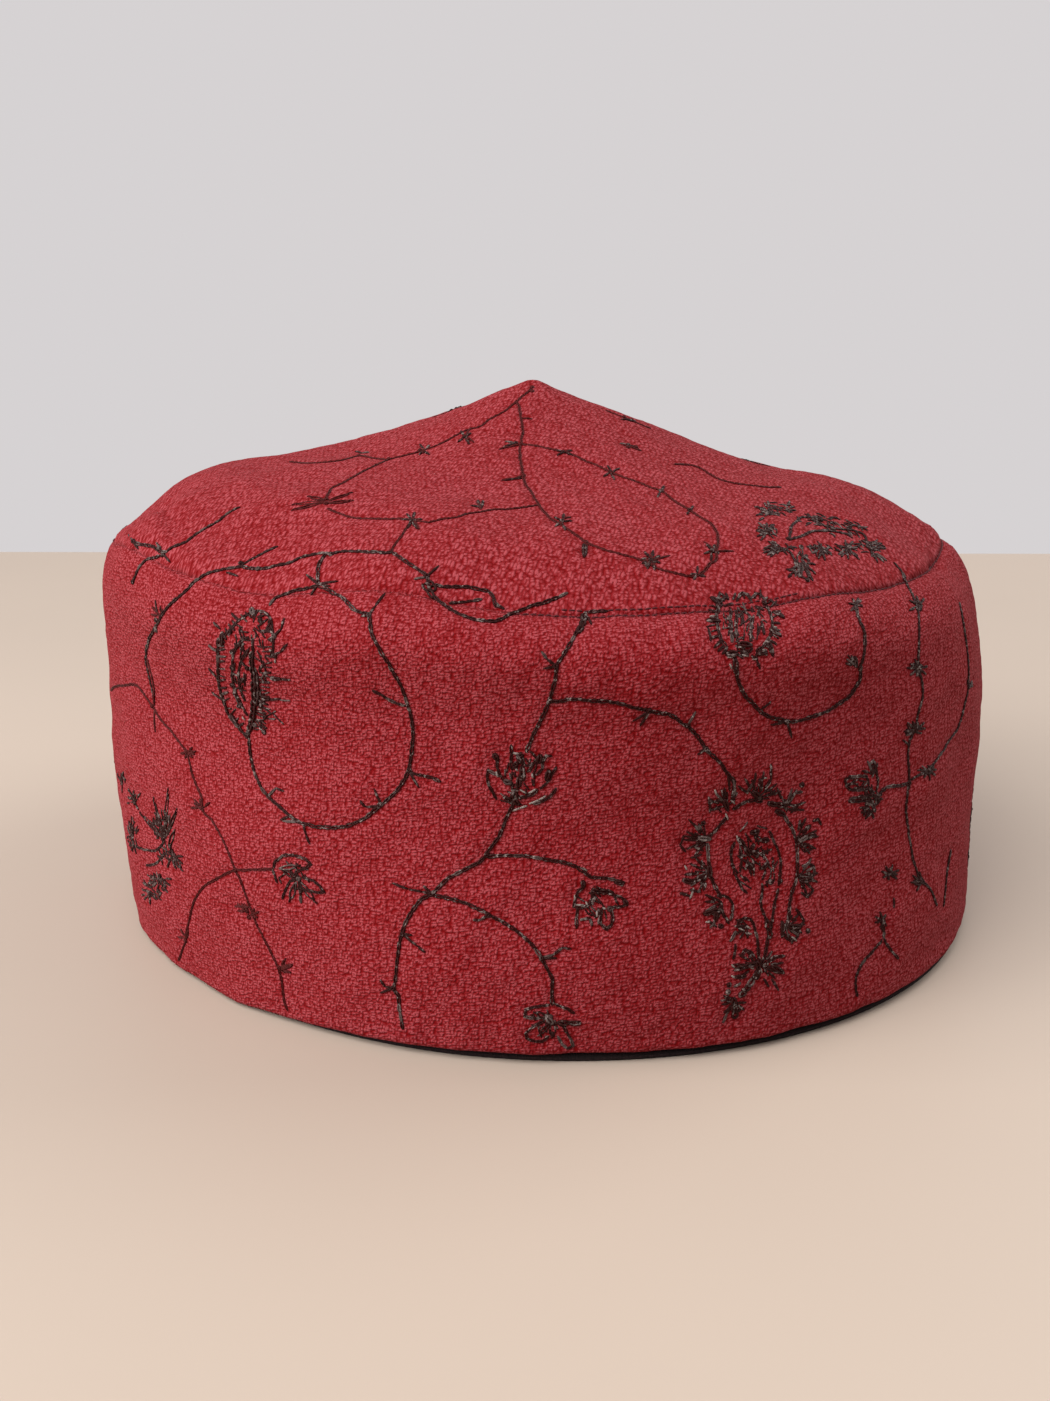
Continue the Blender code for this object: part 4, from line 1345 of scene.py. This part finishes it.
# materials
wool = {
    # length and width of the raised yarns in millimetres, their slant in degrees, and how straggly they lie
    "crepe": [(1.22, 0.54, 7.0, 0.66), (0.84, 0.58, 82.0, 0.72)],
    "twill": [(1.75, 0.74, 72.0, 0.62), (0.90, 0.62, 6.0, 0.70)],
    "drift": 0.00006,  # how far the yarns wander, metres
    "bumpDepth": 0.00023,
    "hairLift": 0.4,
    # painted shade and painted highlight: the low gaps between the yarns are coloured darker and the high
    # yarn tops a paler pinkish red
    "shadedGap": (0.106, 0.0008, 0.0014),
    "body": (0.147, 0.0077, 0.0096),
    "paintedHighlight": (0.247, 0.0397, 0.0464),
    "shadedGapToBody": (0.24, 0.46),  # how light a place is where one colour turns into the next
    "bodyToHighlight": (0.54, 0.86),
    "flash": 0.20,  # how much a yarn's own shade counts beside its height
    # scale of each noise, its detail and how much it lightens or darkens
    "hairs": (5200.0, 2.0, 0.30),
    "streaks": (1.0, 2.0, 0.16),
    "patches": (70.0, 3.0, 0.16),
    "streakStretch": (110.0, 900.0, 1.0),
    "sheen": 0.02,
    "sheenRoughness": 0.5,
    "sheenTint": (1.0, 0.45, 0.45, 1.0),
    "roughness": 0.9,
    "shine": 0.05,
}
# the inner band's dark cloth: partly its own colour, partly painted shadow where its foot shows under the hem
darkClothAndShadow = {
    "yarns": [(0.55, 0.40, 0.0, 0.4), (0.55, 0.40, 90.0, 0.4)],
    "drift": 0.00005,
    "bumpDepth": 0.0001,
    "shadedGap": (0.0045, 0.0024, 0.0026),
    "body": (0.017, 0.0085, 0.0088),
    "shadedGapToBody": (0.2, 0.9),
    "flash": 0.4,
    "roughness": 0.9,
    "shine": 0.15,
}
# what both cloths share
weave = {
    "wanderScale": 620.0,
    "wanderDetail": 1.0,
    "wanderGain": 4.0,
    "otherYarns": (0.3137, 0.7213, 0.0),  # moves the second yarns' pattern clear of the first one's
    "topChance": 0.35,  # how much a yarn's chance counts in which one lies on top
    "yarnSides": (0.08, 0.78),  # where a yarn's back ends and its edge is reached
}
threadFinish = {
    "dark": (0.0165, 0.0020, 0.0014),
    # painted glints: the pale flecks and paler whole stitches of the embroidery thread stand for light caught
    # on its twist
    "pale": (0.20, 0.16, 0.145),
    "paleShare": 0.85,
    "palerLinks": (0.86, 0.98, 0.24),  # from and to which chance a whole stitch is paler, and how much
    "glint": (0.17, 0.135, 0.12),
    "worn": (0.050, 0.0044, 0.0040),  # the thin stitching on top, which lets the red show through
    "fleckScale": 1300.0,
    "fleckEdge": (0.56, 0.62),
    "linkChance": 0.7,  # how much a stitch's own chance counts in its flecks
    "plyHeight": 0.6,  # and how much the height of its twist
    "chanceRow": (1.0, 4.0),  # another pair gives every stitch another chance
    "plies": 7.0,  # twist marks along one stitch
    "bumpDepth": 0.00005,
    "roughness": 0.5,
    "shine": 0.08,
}


def join(tree, socket, value):
    if isinstance(value, bpy.types.NodeSocket):
        tree.links.new(value, socket)
    else:
        socket.default_value = value


def nodeIn(tree, kind, inputs, **settings):
    node = tree.nodes.new(kind)
    for name, value in settings.items():
        setattr(node, name, value)
    for place, value in inputs.items():
        join(tree, node.inputs[place], value)
    return node


def calc(tree, operation, *values):
    # one step of arithmetic
    return nodeIn(tree, "ShaderNodeMath", dict(enumerate(values)), operation=operation).outputs[0]


def moved(tree, place, way, operation="ADD"):
    return nodeIn(tree, "ShaderNodeVectorMath", {0: place, 1: way}, operation=operation).outputs[0]


def scaled(tree, place, factor):
    return nodeIn(tree, "ShaderNodeVectorMath", {0: place, "Scale": factor}, operation="SCALE").outputs[0]


def blendValues(tree, share, first, second):
    return nodeIn(tree, "ShaderNodeMix", {0: share, 2: first, 3: second}, data_type="FLOAT").outputs[0]


def blendColours(tree, share, *colours):
    ends = [colour if isinstance(colour, bpy.types.NodeSocket) else (*colour, 1.0) for colour in colours]
    return nodeIn(tree, "ShaderNodeMix", {0: share, 6: ends[0], 7: ends[1]}, data_type="RGBA").outputs[2]


def eased(tree, value, low, high):
    # nought below low, one above high, smooth between
    ends = {"Value": value, "From Min": low, "From Max": high}
    return nodeIn(tree, "ShaderNodeMapRange", ends, interpolation_type="SMOOTHSTEP").outputs["Result"]


def dice(tree, first, second, third):
    # one random number for each whole-numbered place
    place = nodeIn(tree, "ShaderNodeCombineXYZ", {0: first, 1: second, 2: third}).outputs[0]
    return nodeIn(tree, "ShaderNodeTexWhiteNoise", {0: place}, noise_dimensions="3D").outputs["Value"]


def fog(tree, vector, scale, detail, output="Fac"):
    inputs = {"Vector": vector, "Scale": scale, "Detail": detail}
    return nodeIn(tree, "ShaderNodeTexNoise", inputs).outputs[output]


def mottled(tree, colour, scale, detail, spread):
    # one colour in soft lighter and darker patches
    spots = nodeIn(tree, "ShaderNodeTexCoord", {}).outputs["Object"]
    shade = calc(tree, "MULTIPLY_ADD", fog(tree, spots, scale, detail), spread, 1.0 - spread / 2.0)
    return scaled(tree, colour, shade)


def newMaterial(name, look):
    # look holds the material's roughness and shine
    material = bpy.data.materials.new(name)
    material.use_nodes = True
    tree = material.node_tree
    tree.nodes.clear()
    shader = tree.nodes.new("ShaderNodeBsdfPrincipled")
    output = tree.nodes.new("ShaderNodeOutputMaterial")
    tree.links.new(shader.outputs[0], output.inputs["Surface"])
    shader.inputs["Roughness"].default_value = look["roughness"]
    shader.inputs["Specular IOR Level"].default_value = look["shine"]
    return material, tree, shader


def coloured(tree, shader, colour, height, depth):
    # colour, and relief from a height
    tree.links.new(colour, shader.inputs["Base Color"])
    bump = nodeIn(tree, "ShaderNodeBump", {"Height": height, "Distance": depth, "Strength": 1.0})
    tree.links.new(bump.outputs[0], shader.inputs["Normal"])


def floats(tree, cut, length, width, slant, straggle):
    # short raised yarns: how high each place is, and two random shades for each yarn
    way = {"Vector": cut, "Rotation": (0.0, 0.0, math.radians(slant)),
           "Scale": (length / 1000.0, width / 1000.0, 1.0)}
    laidOut = nodeIn(tree, "ShaderNodeMapping", way, vector_type="TEXTURE").outputs[0]
    cells = nodeIn(tree, "ShaderNodeTexVoronoi", {"Vector": laidOut, "Scale": 1.0, "Randomness": straggle},
                   voronoi_dimensions="2D", feature="F1")
    edge = eased(tree, cells.outputs["Distance"], *weave["yarnSides"])
    shade = nodeIn(tree, "ShaderNodeSeparateColor", {0: cells.outputs["Color"]})
    return calc(tree, "SUBTRACT", 1.0, edge), shade.outputs[0], shade.outputs[1]


def wovenYarns(tree, yarns, drift):
    # the two sets of yarns, with the higher one on top at each place
    cut = nodeIn(tree, "ShaderNodeUVMap", {}, uv_map="cut").outputs[0]
    wander = fog(tree, cut, weave["wanderScale"], weave["wanderDetail"], "Color")
    wander = scaled(tree, moved(tree, wander, (0.5, 0.5, 0.5), "SUBTRACT"), drift * weave["wanderGain"])
    cut = moved(tree, cut, wander)
    chance = weave["topChance"]
    tops, flashes = [], []
    for place, one in ((cut, yarns[0]), (moved(tree, cut, weave["otherYarns"]), yarns[1])):
        height, shade, flash = floats(tree, place, *one)
        tops.append(calc(tree, "MULTIPLY", height, calc(tree, "MULTIPLY_ADD", shade, chance, 1.0 - chance)))
        flashes.append(flash)
    which = calc(tree, "GREATER_THAN", tops[1], tops[0])
    return cut, calc(tree, "MAXIMUM", *tops), blendValues(tree, which, *flashes)


def lightness(tree, look, height, flash):
    # how light a place in the weave is, from its height and its yarn's own shade; low places take painted
    # shade and high ones painted highlight
    share = look["flash"]
    return calc(tree, "MULTIPLY_ADD", flash, share, calc(tree, "MULTIPLY", height, 1.0 - share))


def redWool(name, yarns):
    material, tree, shader = newMaterial(name, wool)
    cut, height, flash = wovenYarns(tree, yarns, wool["drift"])
    light = lightness(tree, wool, height, flash)
    stretched = nodeIn(tree, "ShaderNodeMapping", {"Vector": cut, "Scale": wool["streakStretch"]}).outputs[0]
    noises = []
    for place, kind in ((cut, "hairs"), (stretched, "streaks"), (cut, "patches")):
        scale, detail, depth = wool[kind]
        noises.append(fog(tree, place, scale, detail))
        light = calc(tree, "ADD", light, calc(tree, "MULTIPLY_ADD", noises[-1], depth, -depth / 2.0))
    # painted shade in the gaps and a painted highlight on the yarn tops
    body = blendColours(tree, eased(tree, light, *wool["shadedGapToBody"]), wool["shadedGap"], wool["body"])
    body = blendColours(tree, eased(tree, light, *wool["bodyToHighlight"]), body, wool["paintedHighlight"])
    lift = calc(tree, "ADD", height, calc(tree, "MULTIPLY", noises[0], wool["hairLift"]))
    coloured(tree, shader, body, lift, wool["bumpDepth"])
    shader.inputs["Sheen Weight"].default_value = wool["sheen"]
    shader.inputs["Sheen Roughness"].default_value = wool["sheenRoughness"]
    shader.inputs["Sheen Tint"].default_value = wool["sheenTint"]
    return material


def darkWeave(name):
    material, tree, shader = newMaterial(name, darkClothAndShadow)
    _, height, flash = wovenYarns(tree, darkClothAndShadow["yarns"], darkClothAndShadow["drift"])
    # painted shade in the gaps between the yarns
    share = eased(tree, lightness(tree, darkClothAndShadow, height, flash), *darkClothAndShadow["shadedGapToBody"])
    body = blendColours(tree, share, darkClothAndShadow["shadedGap"], darkClothAndShadow["body"])
    coloured(tree, shader, body, height, darkClothAndShadow["bumpDepth"])
    return material


def twistedThread(name, plain, flecks):
    material, tree, shader = newMaterial(name, threadFinish)
    cut = nodeIn(tree, "ShaderNodeUVMap", {}, uv_map="cut").outputs[0]
    parts = nodeIn(tree, "ShaderNodeSeparateXYZ", {0: cut})
    stitch, along = calc(tree, "FLOOR", parts.outputs[0]), calc(tree, "FRACT", parts.outputs[0])
    twist = calc(tree, "MULTIPLY_ADD", along, threadFinish["plies"] * 2.0,
                 calc(tree, "MULTIPLY", parts.outputs[1], 2.0))
    ply = calc(tree, "SINE", calc(tree, "MULTIPLY", twist, math.pi))
    ply = calc(tree, "MULTIPLY_ADD", ply, 0.5, 0.5)
    chance = dice(tree, stitch, *threadFinish["chanceRow"])
    spots = nodeIn(tree, "ShaderNodeTexCoord", {}).outputs["Object"]
    # flecks of the second colour, most on the crests of the twist; on the embroidery thread they are painted
    # glints
    share = eased(tree, fog(tree, spots, threadFinish["fleckScale"], 2.0), *threadFinish["fleckEdge"])
    for part, weight in ((chance, threadFinish["linkChance"]), (ply, threadFinish["plyHeight"])):
        share = calc(tree, "MULTIPLY", share, calc(tree, "MULTIPLY_ADD", part, weight, 1.0 - weight))
    share = calc(tree, "MULTIPLY", share, threadFinish["paleShare"])
    low, high, most = threadFinish["palerLinks"]
    share = calc(tree, "MAXIMUM", share, calc(tree, "MULTIPLY", eased(tree, chance, low, high), most))
    body = blendColours(tree, share, threadFinish[plain], threadFinish[flecks])
    coloured(tree, shader, body, ply, threadFinish["bumpDepth"])
    return material


redBand = redWool("redWoolCrepe", wool["crepe"])
redCrown = redWool("redWoolTwill", wool["twill"])
darkStripAndShadow = darkWeave("darkCottonAndShadow")
embroideryThread = twistedThread("embroideryThread", "dark", "pale")
paleThread = twistedThread("paleThread", "glint", "dark")
wornThread = twistedThread("wornThread", "worn", "dark")
print("materials mixed")

bandCloth = bandShell(redBand)
crownCloth = crownShell(redCrown)
innerBandCloth = innerBandShell(darkStripAndShadow)
for piece, node, slot in ((bandCloth, "band", "red_wool"), (crownCloth, "crown", "red_wool"),
                          (innerBandCloth, "inner_band", "dark_cloth")):
    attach(piece, "root")
    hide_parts(node)
    countTriangles(piece)

# which regions the thin worn thread is sewn in, and which hold motifs
faint = ("crownLeft", "crownMiddle", "crownRight", "leftVine")
motifs = ("leftPaisley", "farLeftPaisley", "lotus", "rightSmallFlower", "lowerFlower", "leftFlower",
          "bigPaisley", "roundPaisley", "rightFlower", "crownPaisley")
frontVines = [line for region, lines in frontLines.items() if region not in motifs + faint for line in lines]
faintVines = [line for region in faint for line in frontLines[region]]
frontMotifs = [line for region, lines in frontLines.items() if region in motifs
               for line in lines if line[0] != "glints"]
backChain = [line for line in backLines if line[0] in ("vines", "thorns")]
backFaint = [line for line in backLines if line[0] == "fineVines"]
backMotifs = [line for line in backLines if line[0] not in ("vines", "thorns", "glints", "fineVines")]
glints = [line for line in allLines if line[0] == "glints"]
# name, lines, thread and sides of its tubes
stitchWork = [("frontVines", frontVines, embroideryThread, stitching["sides"]),
              ("frontMotifs", frontMotifs, embroideryThread, stitching["sides"]),
              ("frontFaintVines", faintVines, wornThread, stitching["fineSides"]),
              ("backVines", backChain, embroideryThread, stitching["fineSides"]),
              ("backMotifs", backMotifs, embroideryThread, stitching["fineSides"]),
              ("backFaintVines", backFaint, wornThread, stitching["fineSides"]),
              ("paleStitches", glints, paleThread, stitching["fineSides"])]
stitchPieces = [sew(name, lines, clothTree, thread, stitching["seed"] + index, sides)
                for index, (name, lines, thread, sides) in enumerate(stitchWork)]
for piece in stitchPieces:
    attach(piece, "root")
    countTriangles(piece)
print("embroidery sewn")

# the seam's own stitches
seamThread = {
    "every": 1.25,  # millimetres from hole to hole
    "length": 0.85,
    "uneven": 0.15,
    "strand": 0.30,
    # dark red-brown: partly the thread's own colour and partly painted shade of the needle holes along the
    # seam
    "colour": (0.052, 0.004, 0.0055),
    "mottle": (1500.0, 2.0, 0.8),  # scale, detail and strength of its darker and lighter places
    "roughness": 0.7,
    "shine": 0.2,
    "topRow": 2.0,  # the second row runs this many millimetres above the seam
    "topRowFrom": 2.0,  # degrees
    "topRowTo": 30.0,
    "hiddenFrom": -80.0,  # the thread is sunk out of sight between these
    "hiddenTo": -4.0,
    "seed": 16,
}


def sewSeam(material):
    chance = np.random.default_rng(seamThread["seed"])
    least, most = 1.0 - seamThread["uneven"], 1.0 + seamThread["uneven"]
    strand = seamThread["strand"] / 1000.0
    rise = walked(crownOuter).mean(axis=1) * 1000.0
    aboveRow = crownOuter[int(np.argmin(np.abs(rise - seamThread["topRow"])))]
    work = []
    for line, shown in (
            (bandOuter[-1], lambda a: (a < seamThread["hiddenFrom"]) | (a > seamThread["hiddenTo"])),
            (aboveRow, lambda a: (a > seamThread["topRowFrom"]) & (a < seamThread["topRowTo"]))):
        holes = evenly(np.concatenate([line, line[:1]]), seamThread["every"] / 1000.0)
        roots, tips = holes[:-1], holes[1:]
        share = seamThread["length"] / seamThread["every"] * chance.uniform(least, most, (len(roots), 1))
        keep = shown(np.degrees(azimuthOf(roots)))
        roots, tips = roots[keep], (roots + (tips - roots) * share)[keep]
        up = upAt(roots, clothTree)
        work.append((laid(roots, tips, up, straightLine, np.zeros(len(roots)), strand), up, strand))
    return tubes("seamStitches", work, material, stitching["sides"])


def plainThread(name):
    material, tree, shader = newMaterial(name, seamThread)
    tree.links.new(mottled(tree, seamThread["colour"], *seamThread["mottle"]), shader.inputs["Base Color"])
    return material


seamStitches = sewSeam(plainThread("seamThread"))
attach(seamStitches, "root")
countTriangles(seamStitches)
print("seam sewn")

# floor, background and light
studio = {
    "tableEdge": 0.407,  # metres behind the cap's middle
    "tableReach": 3.0,
    "tableColour": (0.358, 0.290, 0.235),
    "mottle": (6.0, 3.0, 0.10),
    "roughness": 0.55,
    "shine": 0.5,
    "wallColour": (0.672, 0.645, 0.652, 1.0),
    "wallLight": 1.0,
    # place, size and power of each soft light
    "lights": {"window": ((-1.25, -0.36, 0.36), 0.9, 21.5), "ceiling": ((-0.50, -0.70, 1.03), 0.9, 21.0),
               "room": ((0.96, 0.45, 0.83), 0.9, 11.0)},
}


def makeStudio():
    material, tree, shader = newMaterial("paleTable", studio)
    colour = mottled(tree, studio["tableColour"], *studio["mottle"])
    tree.links.new(colour, shader.inputs["Base Color"])
    edge, reach = studio["tableEdge"], studio["tableReach"]
    corners = [(-reach, -reach, 0.0), (reach, -reach, 0.0), (reach, edge, 0.0), (-reach, edge, 0.0)]
    floor = newPiece("floor", corners, [(0, 1, 2, 3)], [(0, 0), (1, 0), (1, 1), (0, 1)], material)
    world = bpy.data.worlds.new("paleWall")
    bpy.context.scene.world = world
    world.use_nodes = True
    background = world.node_tree.nodes["Background"]
    background.inputs["Color"].default_value = studio["wallColour"]
    background.inputs["Strength"].default_value = studio["wallLight"]
    for name, (place, size, power) in studio["lights"].items():
        lamp = bpy.data.lights.new(name, "AREA")
        lamp.size = size
        lamp.energy = power
        light = bpy.data.objects.new(name, lamp)
        light.location = place
        light.rotation_euler = (-Vector(place)).to_track_quat("-Z", "Y").to_euler()
        bpy.context.scene.collection.objects.link(light)
    bpy.context.scene.view_settings.view_transform = "Standard"


makeStudio()
print("floor and light set")
